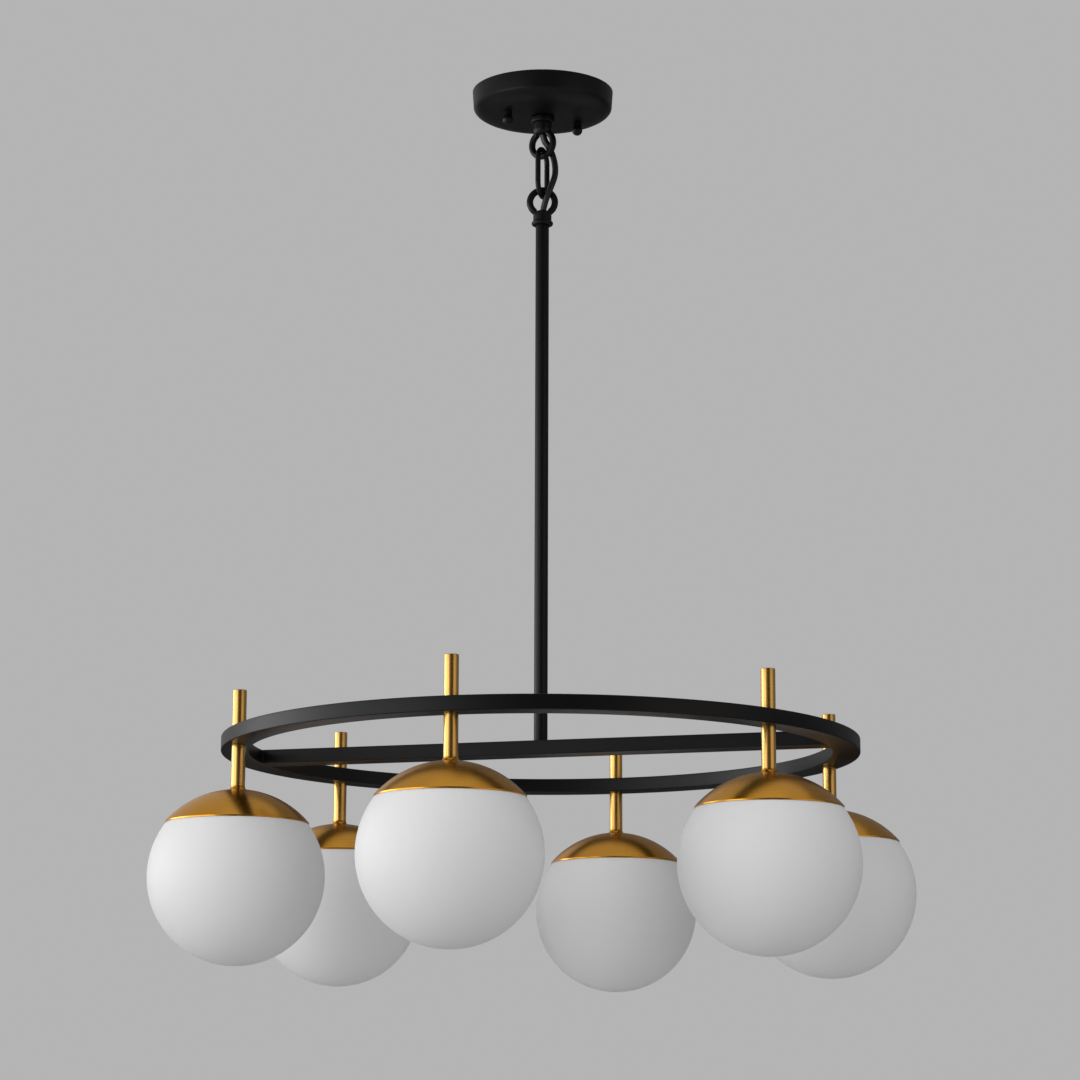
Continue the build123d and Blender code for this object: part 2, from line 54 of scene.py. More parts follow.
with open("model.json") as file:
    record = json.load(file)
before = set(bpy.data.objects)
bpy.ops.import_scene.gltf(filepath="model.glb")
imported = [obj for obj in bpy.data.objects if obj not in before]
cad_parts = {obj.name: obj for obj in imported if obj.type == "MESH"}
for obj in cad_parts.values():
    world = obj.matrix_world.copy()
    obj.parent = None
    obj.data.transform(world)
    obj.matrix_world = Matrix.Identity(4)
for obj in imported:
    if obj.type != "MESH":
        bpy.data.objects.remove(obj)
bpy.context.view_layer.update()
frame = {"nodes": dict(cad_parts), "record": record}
MM = 0.001


def middle_of(node):
    """The centre of a node's box."""
    low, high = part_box(node)
    return (low + high) / 2


def size_of(node):
    """The three sides of a node's box."""
    low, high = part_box(node)
    return high - low


def linear(hex_value):
    """An sRGB hex value as linear red, green, blue and alpha."""
    parts = [int(hex_value[i : i + 2], 16) / 255 for i in (1, 3, 5)]
    return (*(c / 12.92 if c <= 0.04045 else ((c + 0.055) / 1.055) ** 2.4 for c in parts), 1.0)


# Places and sizes that come from the frame
LAMPS = range(1, 1 + sum(name.startswith("globe_") for name in frame["nodes"]))
LAMP_AXES = [middle_of(f"finial_{n}").xy for n in LAMPS]
GLOBE_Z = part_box("globe_1")[0].z + size_of("globe_1").x / 2
RING_LOW, RING_TOP = (corner.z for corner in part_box("ring"))
SLEEVE_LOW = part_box("sleeve_1")[0].z
ROD_LOW, ROD_TOP = (corner.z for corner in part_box("down_rod"))
CANOPY_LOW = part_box("canopy")[0].z
COLLAR_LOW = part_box("canopy_collar")[0].z

# Sizes that several pieces share
BORE_R = 5.05 * MM  # holes for the threaded tubes
LOOP_R = 11.2 * MM  # middle of a loop's wire
LOOP_WIRE_R = 3 * MM
CANOPY_RING_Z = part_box("canopy_loop")[0].z + LOOP_R + LOOP_WIRE_R
ROD_RING_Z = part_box("rod_loop")[1].z - LOOP_R - LOOP_WIRE_R

# Material slots of the record that several pieces share
BLACK, BRASS, OPAL, ZINC = "black_powder_coat", "satin_brass", "opal_glass", "zinc_plated_steel"
CORD = "black_cord"

UV_NAME = "UVMap"
SMOOTH = 180  # the sharp angle, in degrees, that leaves a piece smooth all over
POLE_R = 1e-7  # an outline's point that is nearer its axis is a pole


def number(name, description, default, **settings):
    """A number that a user may change."""
    return FloatProperty(name=name, description=description, default=default, **settings)


def length(name, description, default):
    """A length that a user may change."""
    return number(name, description, default, unit="LENGTH", precision=5)


def colour(name, description, hex_value):
    """A colour that a user may change."""
    return FloatVectorProperty(
        name=name,
        description=description,
        default=linear(hex_value),
        size=4,
        subtype="COLOR",
        min=0,
        max=1,
    )


class PendantSizes(bpy.types.PropertyGroup):
    """Sizes of the dressed pieces."""

    ring_radius: length("Ring radius", "To the middle of the ring's tube", LAMP_AXES[0].length)
    ring_width: length("Ring width", "Across the ring's tube", 24 * MM)
    ring_edge: length("Ring edge", "Round of the tube's corners", 0.9 * MM)
    tube: length("Tube", "Diameter of the rod and the stems", size_of("finial_1").x)
    globe: length("Globe", "Diameter of a glass globe", size_of("globe_1").x)
    glass: length("Glass", "Thickness of the glass", 3 * MM)
    cap_gap: length("Cap gap", "Between the glass and the cap's edge", 0.1 * MM)
    cap_wall: length("Cap wall", "Thickness of the spun cap", 0.8 * MM)
    cap_lip: length("Cap lip", "Height of the cap's upright edge", 1.3 * MM)
    cap_crown: length("Cap crown", "Top of the cap's dome above the globe's middle", 73.8 * MM)
    cord: length("Cord", "Diameter of the supply cord", 5.6 * MM)
    ground_wire: length("Ground wire", "Diameter of the bare wire beside the cord", 0.9 * MM)
    steps: IntProperty(name="Steps", description="Facets of a turned piece", default=128, min=16)


class PendantColours(bpy.types.PropertyGroup):
    """Colours of the finishes and the studio."""

    black: colour("Black", "Powder coat", "#070708")
    brass: colour("Brass", "Spun brass of the caps", "#e6a742")
    tube: colour("Brass tube", "Drawn brass of the stems", "#e6b04c")
    opal: colour("Opal", "White glass", "#efefef")
    porcelain: colour("Porcelain", "Lampholder glaze", "#efece4")
    lamp: colour("Lamp", "Frosted envelope", "#f1eee6")
    cord: colour("Cord", "Cord jacket", "#0c0c0d")
    backdrop: colour("Backdrop", "What the camera sees behind the object", "#b4b4b5")
    floor: colour("Floor", "Studio floor", "#c9c9c8")


class PendantStudio(bpy.types.PropertyGroup):
    """Camera and light."""

    camera_at: FloatVectorProperty(
        name="Camera",
        description="Where the camera stands",
        default=(0.7756, -2.7766, -0.99445),
        subtype="XYZ",
    )
    camera_turn: number("Turn", "Heading, left of +Y", math.radians(15.63), subtype="ANGLE")
    camera_tilt: number("Tilt", "Upward tilt", math.radians(11.39), subtype="ANGLE")
    camera_roll: number("Roll", "The camera's roll", 0.0033, subtype="ANGLE")
    lens: number("Lens", "Focal length in mm, on a 36 mm sensor", 111.15)
    window: number("Window", "Power of the wide light on the left, in W", 54.0)
    room: number("Room", "Strength of the light from all round", 0.62)
    floor_z: number("Floor", "Height of the floor", -2.6, unit="LENGTH")


def sizes():
    """The sizes in force."""
    return bpy.context.scene.pendant_sizes


def colours():
    """The colours in force."""
    return bpy.context.scene.pendant_colours


def per_lamp(stem):
    """The names of the nodes of one kind, one at each lamp."""
    return [f"{stem}_{n}" for n in LAMPS]


# Materials


def add(tree, kind, inputs=None, **settings):
    """Add a node with its settings, give its inputs values or links, and return its outputs."""
    node = tree.nodes.new(kind)
    for name, value in settings.items():
        setattr(node, name, value)
    for name, value in (inputs or {}).items():
        if isinstance(value, bpy.types.NodeSocket):
            tree.links.new(value, node.inputs[name])
        else:
            node.inputs[name].default_value = value
    return node.outputs


# Inputs and output of a Mix node that is set to colours
MIX_A, MIX_B, MIX_RESULT = 6, 7, 2


def pattern(tree, size, detail=2.0, kind="ShaderNodeTexNoise", uv=False):
    """A texture's value; its features measure so many millimetres, all ways or on each axis."""
    if uv:
        where = add(tree, "ShaderNodeUVMap", uv_map=UV_NAME)["UV"]
    else:
        where = add(tree, "ShaderNodeTexCoord")["Object"]
    sides = size if isinstance(size, tuple) else (size, size, size)
    scale = [1 / (side * MM) for side in sides]
    scaled = add(tree, "ShaderNodeMapping", {"Vector": where, "Scale": scale})["Vector"]
    return add(tree, kind, {"Vector": scaled, "Scale": 1.0, "Detail": detail})[0]


def new_material(name, tones, cloud=None, fine=None, sheen=None, relief=None, shader=None):
    """A material: two tones in soft clouds, and a fine pattern in its roughness and its relief.

    A tone is a hex value or one of the user's colours. Without a cloud the fine pattern mixes them.
    """
    made = bpy.data.materials.new(name)
    made.use_nodes = True
    tree = made.node_tree
    tree.nodes.clear()
    tones = [linear(t) if t.startswith("#") else getattr(colours(), t) for t in tones]
    inputs = {"Base Color": tones[0], **(shader or {})}
    grain = pattern(tree, **fine) if fine else None
    if len(tones) > 1:
        factor = pattern(tree, *cloud) if cloud else grain
        ends = {"Factor": factor, MIX_A: tones[0], MIX_B: tones[1]}
        inputs["Base Color"] = add(tree, "ShaderNodeMix", ends, data_type="RGBA")[MIX_RESULT]
    if sheen:
        ends = {"Value": grain, "To Min": sheen[0], "To Max": sheen[1]}
        inputs["Roughness"] = add(tree, "ShaderNodeMapRange", ends)["Result"]
    if relief:
        height = {"Height": grain, "Distance": relief * MM}
        inputs["Normal"] = add(tree, "ShaderNodeBump", height)["Normal"]
    if "Anisotropic" in inputs:
        tangent = add(tree, "ShaderNodeTangent", direction_type="UV_MAP", uv_map=UV_NAME)
        inputs["Tangent"] = tangent["Tangent"]
    surface = add(tree, "ShaderNodeBsdfPrincipled", inputs)["BSDF"]
    add(tree, "ShaderNodeOutputMaterial", {"Surface": surface})
    return made


METAL = {"Metallic": 1.0}
BRUSHED = {"Metallic": 1.0, "Anisotropic": 0.55, "Anisotropic Rotation": 0.25}
LACQUER = {"Coat Weight": 1.0, "Coat IOR": 1.65, "Coat Roughness": 0.22}
GLAZE = {"IOR": 1.52, "Coat Weight": 0.6, "Coat Roughness": 0.08}
MILKY = {"IOR": 1.5, "Subsurface Radius": (1.0, 1.0, 1.0)}
PVC = {"IOR": 1.53}
INSULATION = dict(cloud=[4], fine=dict(size=0.8), sheen=(0.36, 0.48), relief=0.008, shader=PVC)

# The finishes; clouds are (size, detail), and patterns and relief are in millimetres
SURFACES = {
    # Baked powder: a satin near-black whose orange peel breaks up its sheen.
    # The peel is about 0.8 mm across; drawn at 1.3 mm so that it shows.
    BLACK: dict(
        name="black powder coat on steel", tones=("black", "#0b0b0c"), cloud=(45, 3.0),
        fine=dict(size=1.3), sheen=(0.36, 0.47), relief=0.03,
        shader={"Specular IOR Level": 0.26},
    ),
    # A spun and brushed dome: fine lines round the axis spread each highlight along it.
    # The lines are about 0.1 mm apart; drawn at 0.4 mm so that they show, each about 60 mm long.
    BRASS: dict(
        name="brass sheet, spun and brushed", tones=("brass", "#dc9c38"), cloud=(38, 3.0),
        fine=dict(size=(60, 0.4, 1), uv=True), sheen=(0.25, 0.31), relief=0.0008,
        shader=BRUSHED,
    ),
    # Drawn tube under clear lacquer: faint streaks along it and a pale gleam on its highlights.
    # The streaks are about 0.1 mm apart; drawn at 1.5 mm so that they show, each about 80 mm long.
    "brass_tube": dict(
        name="brass tube, drawn and lacquered", tones=("tube", "#dda945"),
        fine=dict(size=(1.5, 1.5, 80)), shader={**BRUSHED, **LACQUER, "Roughness": 0.27},
    ),
    # Glass that is white right through, so light spreads under its matt etched skin.
    # The etched grain is about 0.1 mm; drawn at 0.7 mm so that it shows.
    OPAL: dict(
        name="opal glass, blown and acid etched", tones=("opal", "#e9e9ea"), cloud=[90],
        fine=dict(size=0.7), sheen=(0.52, 0.64), relief=0.006,
        shader={**MILKY, "Subsurface Weight": 0.25, "Subsurface Scale": 6 * MM},
    ),
    # Zinc on steel: a cool grey metal with faint crystal patches.
    ZINC: dict(
        name="steel, zinc plated", tones=("#b8bbbd", "#9da1a0"), cloud=(6, 3.0),
        fine=dict(size=2.5, detail=0.0, kind="ShaderNodeTexVoronoi"), sheen=(0.28, 0.44),
        relief=0.01, shader=METAL,
    ),
    # An off-white body under a clear hard glaze with slight waves.
    "porcelain": dict(
        name="porcelain, glazed", tones=("porcelain", "#e5e1d6"), cloud=[14],
        fine=dict(size=5, detail=1.0), sheen=(0.2, 0.34), relief=0.05, shader=GLAZE,
    ),
    # A lamp's envelope: milky white with a soft sheen.
    # The frosting is about 0.1 mm; drawn at 0.6 mm so that it shows.
    "lamp_diffuser": dict(
        name="lamp glass, frosted", tones=("lamp", "#e9e5da"), cloud=[30],
        fine=dict(size=0.6, detail=1.0), sheen=(0.3, 0.42), relief=0.004,
        shader={**MILKY, "Subsurface Weight": 0.3, "Subsurface Scale": 4 * MM},
    ),
    # Bright nickel on drawn sheet: a warm silver with draw marks along the axis.
    # The marks are about 0.1 mm apart; drawn at 0.5 mm so that they show, each about 12 mm long.
    "nickel": dict(
        name="brass sheet, nickel plated", tones=("#cdc7ba", "#b9b3a6"), cloud=[8],
        fine=dict(size=(0.5, 0.5, 12)), sheen=(0.18, 0.3), relief=0.003, shader=METAL,
    ),
    # An extruded jacket: soft black with faint drag lines along the cord.
    # The lines are about 0.2 mm apart; drawn at 0.5 mm so that they show, each about 25 mm long.
    CORD: dict(
        name="PVC jacket, extruded", tones=("cord", "#151516"), cloud=[12],
        fine=dict(size=(0.5, 25, 1), uv=True), sheen=(0.34, 0.48), relief=0.012, shader=PVC,
    ),
    # Tin on drawn copper: a dull silver with slight pink patches where the tin is thin.
    "tinned_copper": dict(
        name="copper wire, drawn and tinned", tones=("#a09c97", "#8d837a"), cloud=[3],
        fine=dict(size=0.5), sheen=(0.3, 0.45), relief=0.006, shader=METAL,
    ),
    # Green passivation on steel: a dark green that still shines as metal does.
    "green_screw": dict(
        name="steel, green passivated", tones=("#2f7f49", "#1d5e34"), cloud=[3],
        fine=dict(size=0.7), sheen=(0.3, 0.45), relief=0.01, shader={"Metallic": 0.6},
    ),
    # Extruded insulation on single conductors: soft plain colours with a slight sheen.
    "black_lead": dict(name="PVC insulation, black", tones=("#131313", "#1d1d1d"), **INSULATION),
    "white_lead": dict(name="PVC insulation, white", tones=("#e6e4de", "#d6d3cb"), **INSULATION),
    "green_lead": dict(name="PVC insulation, green", tones=("#2f7f49", "#24683a"), **INSULATION),
}
FINISHES = {}


def finish(name):
    """The material for a finish, made once."""
    if name not in FINISHES:
        FINISHES[name] = new_material(**SURFACES[name])
    return FINISHES[name]


# Meshes


def turns(count):
    """The angles, in radians, of so many equal steps round a circle."""
    return [2 * math.pi * k / count for k in range(count)]


def arc(radius, start, end, steps, centre=(0.0, 0.0)):
    """Outline points on an arc, its angles in degrees from the horizontal."""
    angles = [math.radians(start + (end - start) * k / steps) for k in range(steps + 1)]
    return [(centre[0] + radius * math.cos(t), centre[1] + radius * math.sin(t)) for t in angles]


def rounded(corners, closed=True, steps=5):
    """An outline from (x, y, round) corners, each round drawn as an arc."""
    outline = []
    for i, (x, y, radius) in enumerate(corners):
        at_end = not closed and i in (0, len(corners) - 1)
        if radius == 0 or at_end:
            outline.append((x, y))
            continue
        here = Vector((x, y))
        back = (Vector(corners[i - 1][:2]) - here).normalized()
        on = (Vector(corners[(i + 1) % len(corners)][:2]) - here).normalized()
        half = back.angle(on) / 2
        centre = here + (back + on).normalized() * radius / math.sin(half)
        first = here + back * radius / math.tan(half) - centre
        last = here + on * radius / math.tan(half) - centre
        sweep = first.angle_signed(last)
        for k in range(steps + 1):
            spoke = Matrix.Rotation(-sweep * k / steps, 2) @ first
            outline.append(tuple(centre + spoke))
    return outline


def link_object(name, data):
    """An object for this data, linked into the scene."""
    made = bpy.data.objects.new(name, data)
    bpy.context.scene.collection.objects.link(made)
    return made


def mesh_object(mesh, sharp=35):
    """A linked object for a mesh, smooth shaded except over sharp edges."""
    mesh.polygons.foreach_set("use_smooth", [True] * len(mesh.polygons))
    mesh.set_sharp_from_angle(angle=math.radians(sharp))
    return link_object(mesh.name, mesh)


def evaluated_mesh(host, name):
    """The mesh that an object's modifiers or curve give; the object itself is removed."""
    graph = bpy.context.evaluated_depsgraph_get()
    mesh = bpy.data.meshes.new_from_object(host.evaluated_get(graph))
    bpy.data.objects.remove(host)
    mesh.name = name
    return mesh


def skin(name, rows, girth=0.0, along=None, ring=False, capped=False):
    """A mesh over rows of points, each row closed on itself; a row of one point is a pole.

    With the rows' places along it, in metres, it gets a UV map; girth is then one turn's length.
    """
    build = bmesh.new()
    uv = build.loops.layers.uv.new(UV_NAME) if along else None
    count = max(len(row) for row in rows)
    rows = [[build.verts.new(point) for point in row] for row in rows]
    rows = [row if len(row) > 1 else row * count for row in rows]
    for i in range(len(rows) if ring else len(rows) - 1):
        low, high = rows[i], rows[(i + 1) % len(rows)]
        for j in range(count):
            k = (j + 1) % count
            quad = [(low[j], j, i), (low[k], j + 1, i)]
            quad += [(high[k], j + 1, i + 1), (high[j], j, i + 1)]
            corners = [c for n, c in enumerate(quad) if c[0] is not quad[n - 1][0]]
            if len(corners) < 3:
                continue
            face = build.faces.new([c[0] for c in corners])
            if along:
                for loop, (_, around, level) in zip(face.loops, corners):
                    loop[uv].uv = (girth * around / count, along[level])
    if capped:
        build.faces.new(rows[0][::-1])
        build.faces.new(rows[-1])
    mesh = bpy.data.meshes.new(name)
    build.to_mesh(mesh)
    build.free()
    return mesh


def turned_mesh(name, outline, centre=(0, 0, 0), closed=False, steps=None, thread=(0, 1)):
    """A mesh turned about an upright axis from (radius, height) points.

    A thread is (depth, pitch): the radius then rises and falls along a helix.
    """
    steps, axis = steps or sizes().steps, Vector(centre)
    depth, pitch = thread
    rows, along = [], [0.0]
    for (radius, height), on in zip(outline, outline[1:] + outline[:1]):
        along.append(along[-1] + math.dist((radius, height), on))
        if radius < POLE_R:
            rows.append([axis + Vector((0, 0, height))])
            continue
        row = []
        for turn in turns(steps):
            out = radius + depth * (math.cos(2 * math.pi * height / pitch - turn) - 1) / 2
            row.append(axis + Vector((out * math.cos(turn), out * math.sin(turn), height)))
        rows.append(row)
    girth = 2 * math.pi * max(radius for radius, _ in outline)
    return skin(name, rows, girth, along, ring=closed)


def tube_mesh(name, points, diameter, sides):
    """A round tube along points."""
    points = [Vector(p) for p in points]
    runs = [(b - a).normalized() for a, b in zip(points, points[1:])]
    tangents = [runs[0], *((a + b).normalized() for a, b in zip(runs, runs[1:])), runs[-1]]
    side = tangents[0].orthogonal().normalized()
    rows, along = [], [0.0]
    for i, (point, tangent) in enumerate(zip(points, tangents)):
        if i:
            side = tangents[i - 1].rotation_difference(tangent) @ side
            along.append(along[-1] + (point - points[i - 1]).length)
        side = (side - tangent * side.dot(tangent)).normalized()
        across = tangent.cross(side)
        spokes = [side * math.cos(turn) + across * math.sin(turn) for turn in turns(sides)]
        rows.append([point + spoke * diameter / 2 for spoke in spokes])
    return skin(name, rows, math.pi * diameter, along, capped=True)


# Geometry Nodes trees


def new_tree(name, inputs):
    """A Geometry Nodes tree with these inputs and a finish; returns it and the inputs' sockets."""
    tree = bpy.data.node_groups.new(name, "GeometryNodeTree")
    for label, kind in {**inputs, "Finish": "Material"}.items():
        tree.interface.new_socket(label, in_out="INPUT", socket_type="NodeSocket" + kind)
    tree.interface.new_socket("Geometry", in_out="OUTPUT", socket_type="NodeSocketGeometry")
    return tree, add(tree, "NodeGroupInput")


def end_tree(tree, geometry, material):
    """Realize the instances, set the material and end the tree."""
    real = add(tree, "GeometryNodeRealizeInstances", {"Geometry": geometry})["Geometry"]
    smooth = add(tree, "GeometryNodeSetShadeSmooth", {"Geometry": real})["Geometry"]
    painted = add(tree, "GeometryNodeSetMaterial", {"Geometry": smooth, "Material": material})
    add(tree, "NodeGroupOutput", {"Geometry": painted["Geometry"]})
    return tree


def grow(tree, name, values, sharp=35):
    """Run a tree with these named inputs and return the result as a plain mesh object."""
    host = link_object(name + "_host", bpy.data.meshes.new(name + "_host"))
    modifier = host.modifiers.new("Shape", "NODES")
    modifier.node_group = tree
    for item in tree.interface.items_tree:
        if item.in_out == "INPUT":
            modifier[item.identifier] = values[item.name]
    return mesh_object(evaluated_mesh(host, name), sharp)


def pieces_round_ring_tree():
    """Stands a copy of one turned piece at each lamp round the ring."""
    inputs = {"Piece": "Object", "Lamps": "Int", "Ring radius": "Float", "First lamp": "Float"}
    tree, given = new_tree("Pieces round the ring", inputs)
    piece = add(tree, "GeometryNodeObjectInfo", {"Object": given["Piece"]})["Geometry"]
    circle = {"Vertices": given["Lamps"], "Radius": given["Ring radius"]}
    spots = add(tree, "GeometryNodeMeshCircle", circle)["Mesh"]
    heading = add(tree, "ShaderNodeCombineXYZ", {"Z": given["First lamp"]})["Vector"]
    placed = add(tree, "GeometryNodeTransform", {"Geometry": spots, "Rotation": heading})
    copy = {"Points": placed["Geometry"], "Instance": piece}
    copies = add(tree, "GeometryNodeInstanceOnPoints", copy)["Instances"]
    return end_tree(tree, copies, given["Finish"])


def rolled_tube_tree():
    """Rolls a rectangular tube with rounded corners into a ring."""
    labels = ("Ring radius", "Width", "Height", "Edge", "Level")
    tree, given = new_tree("Rolled tube", {label: "Float" for label in labels})
    circle = {"Resolution": 384, "Radius": given["Ring radius"]}
    path = add(tree, "GeometryNodeCurvePrimitiveCircle", circle)["Curve"]
    sides = {"Width": given["Width"], "Height": given["Height"]}
    box = add(tree, "GeometryNodeCurvePrimitiveQuadrilateral", sides)["Curve"]
    edge = {"Curve": box, "Count": 5, "Radius": given["Edge"], "Limit Radius": True}
    section = add(tree, "GeometryNodeFilletCurve", edge, mode="POLY")["Curve"]
    sweep = {"Curve": path, "Profile Curve": section}
    tube = add(tree, "GeometryNodeCurveToMesh", sweep)["Mesh"]
    level = add(tree, "ShaderNodeCombineXYZ", {"Z": given["Level"]})["Vector"]
    placed = add(tree, "GeometryNodeTransform", {"Geometry": tube, "Translation": level})
    return end_tree(tree, placed["Geometry"], given["Finish"])


def thread_tree():
    """Winds the crest of a thread round an upright axis."""
    labels = ("Radius", "Crest", "Turns", "Height")
    tree, given = new_tree("Thread", {**{label: "Float" for label in labels}, "Foot": "Vector"})
    spiral = {
        "Resolution": 48,
        "Rotations": given["Turns"],
        "Start Radius": given["Radius"],
        "End Radius": given["Radius"],
        "Height": given["Height"],
    }
    helix = add(tree, "GeometryNodeCurveSpiral", spiral)["Curve"]
    circle = {"Resolution": 6, "Radius": given["Crest"]}
    section = add(tree, "GeometryNodeCurvePrimitiveCircle", circle)["Curve"]
    sweep = {"Curve": helix, "Profile Curve": section, "Fill Caps": True}
    crest = add(tree, "GeometryNodeCurveToMesh", sweep)["Mesh"]
    placed = add(tree, "GeometryNodeTransform", {"Geometry": crest, "Translation": given["Foot"]})
    return end_tree(tree, placed["Geometry"], given["Finish"])


# Inputs and output of a Random Value node that is set to plain numbers
RANDOM_MIN, RANDOM_MAX, RANDOM_VALUE = 2, 3, 1


def weld_tree():
    """Lays overlapping weld ripples along a curve."""
    inputs = {"Path": "Object", "Bead": "Float", "Spacing": "Float", "Seed": "Int"}
    tree, given = new_tree("Weld bead", inputs)
    path = add(tree, "GeometryNodeObjectInfo", {"Object": given["Path"]})["Geometry"]
    step = {"Curve": path, "Length": given["Spacing"]}
    spots = add(tree, "GeometryNodeCurveToPoints", step, mode="LENGTH")
    ball = {"Radius": given["Bead"], "Subdivisions": 2}
    ripple = add(tree, "GeometryNodeMeshIcoSphere", ball)["Mesh"]
    spread = {RANDOM_MIN: 0.86, RANDOM_MAX: 1.06, "Seed": given["Seed"]}
    copy = {
        "Points": spots["Points"],
        "Instance": ripple,
        "Rotation": spots["Rotation"],
        "Scale": add(tree, "FunctionNodeRandomValue", spread)[RANDOM_VALUE],
    }
    copies = add(tree, "GeometryNodeInstanceOnPoints", copy)["Instances"]
    return end_tree(tree, copies, given["Finish"])


TREES = {}


def node_tree(maker):
    """The Geometry Nodes tree that a function makes, made once."""
    if maker not in TREES:
        TREES[maker] = maker()
    return TREES[maker]


# Pieces


def dress(piece, body, slot, nodes=(), coat=None):
    """Give a piece its material, and let it ride on its body and stand for its CAD nodes."""
    piece.data.materials.clear()
    piece.data.materials.append(finish(coat or slot))
    if nodes:
        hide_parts(*nodes)
    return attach(piece, body)


def turned_piece(name, outline, body, slot, nodes=(), coat=None, **shape):
    """One turned piece, dressed."""
    return dress(mesh_object(turned_mesh(name, outline, **shape)), body, slot, nodes, coat)


def round_the_ring(name, outline, slot, nodes=(), coat=None, **shape):
    """The same turned piece at every lamp, as one piece of the frame."""
    model = mesh_object(turned_mesh(name + "_pattern", outline, closed=True, **shape))
    values = {
        "Piece": model,
        "Lamps": len(LAMPS),
        "Ring radius": sizes().ring_radius,
        "First lamp": math.atan2(LAMP_AXES[0].y, LAMP_AXES[0].x),
        "Finish": finish(coat or slot),
    }
    piece = grow(node_tree(pieces_round_ring_tree), name, values)
    bpy.data.objects.remove(model)
    return dress(piece, "frame", slot, nodes, coat)


def sleeve_outline(outer, inner, low, high, edge_low, edge_high):
    """A plain tube's closed outline with rounded outer edges."""
    outside = [(outer, low, edge_low), (outer, high, edge_high)]
    return rounded([(inner, low, 0), *outside, (inner, high, 0)])


class PENDANT_OT_canopy(bpy.types.Operator):
    """Make the canopy, its collar and its thumb nuts"""

    bl_idname = "pendant.canopy"
    bl_label = "Canopy"

    def execute(self, context):
        rim, wall, edge, lean = size_of("canopy").x / 2, 1.2 * MM, 0.4 * MM, 1 * MM
        wide, tall, steps = 22 * MM, 9 * MM, 40  # of the shoulder, a quarter of an ellipse
        side_low = rim - lean
        flat_r, turn_z = side_low - wide, CANOPY_LOW + tall
        shoulder = [(flat_r + wide * x, turn_z - tall * y) for x, y in arc(1, 90, 0, steps)]
        wide, tall = wide - wall, tall - wall
        lining = [(flat_r + wide * x, turn_z - tall * y) for x, y in arc(1, 0, 90, steps)]
        lip = [(side_low, turn_z, 0), (rim, 0, edge)]
        lip += [(rim - wall, 0, edge), (side_low - wall, turn_z, 0)]
        outline = [(BORE_R, CANOPY_LOW), *shoulder, *rounded(lip, closed=False)[1:-1]]
        outline += [*lining, (BORE_R, CANOPY_LOW + wall)]
        turned_piece("canopy_shell", outline, "ceiling", BLACK, ["canopy"], closed=True)
        collar, edge = size_of("canopy_collar").x / 2, 0.95 * MM
        outline = sleeve_outline(collar, BORE_R, COLLAR_LOW, CANOPY_LOW, edge, edge)
        turned_piece("collar", outline, "ceiling", BLACK, ["canopy_collar"], closed=True)
        self.nuts()
        return {"FINISHED"}

    def nuts(self):
        """Thumb nuts: a ball on a short neck."""
        ball, neck, tall, edge = 4.7 * MM, 3.8 * MM, 12 * MM, 0.3 * MM
        waist = math.degrees(math.acos(neck / ball))
        outline = [(0, -tall), *arc(ball, -90, waist, steps=24, centre=(0, ball - tall))[1:]]
        outline += [(neck, -edge), (neck - edge, 0), (0, 0)]
        for n in (1, 2):
            place = middle_of(f"canopy_nut_{n}")
            place.z = CANOPY_LOW
            name, node = f"thumb_nut_{n}", f"canopy_nut_{n}"
            turned_piece(name, outline, name, BLACK, [node], centre=place, steps=48)


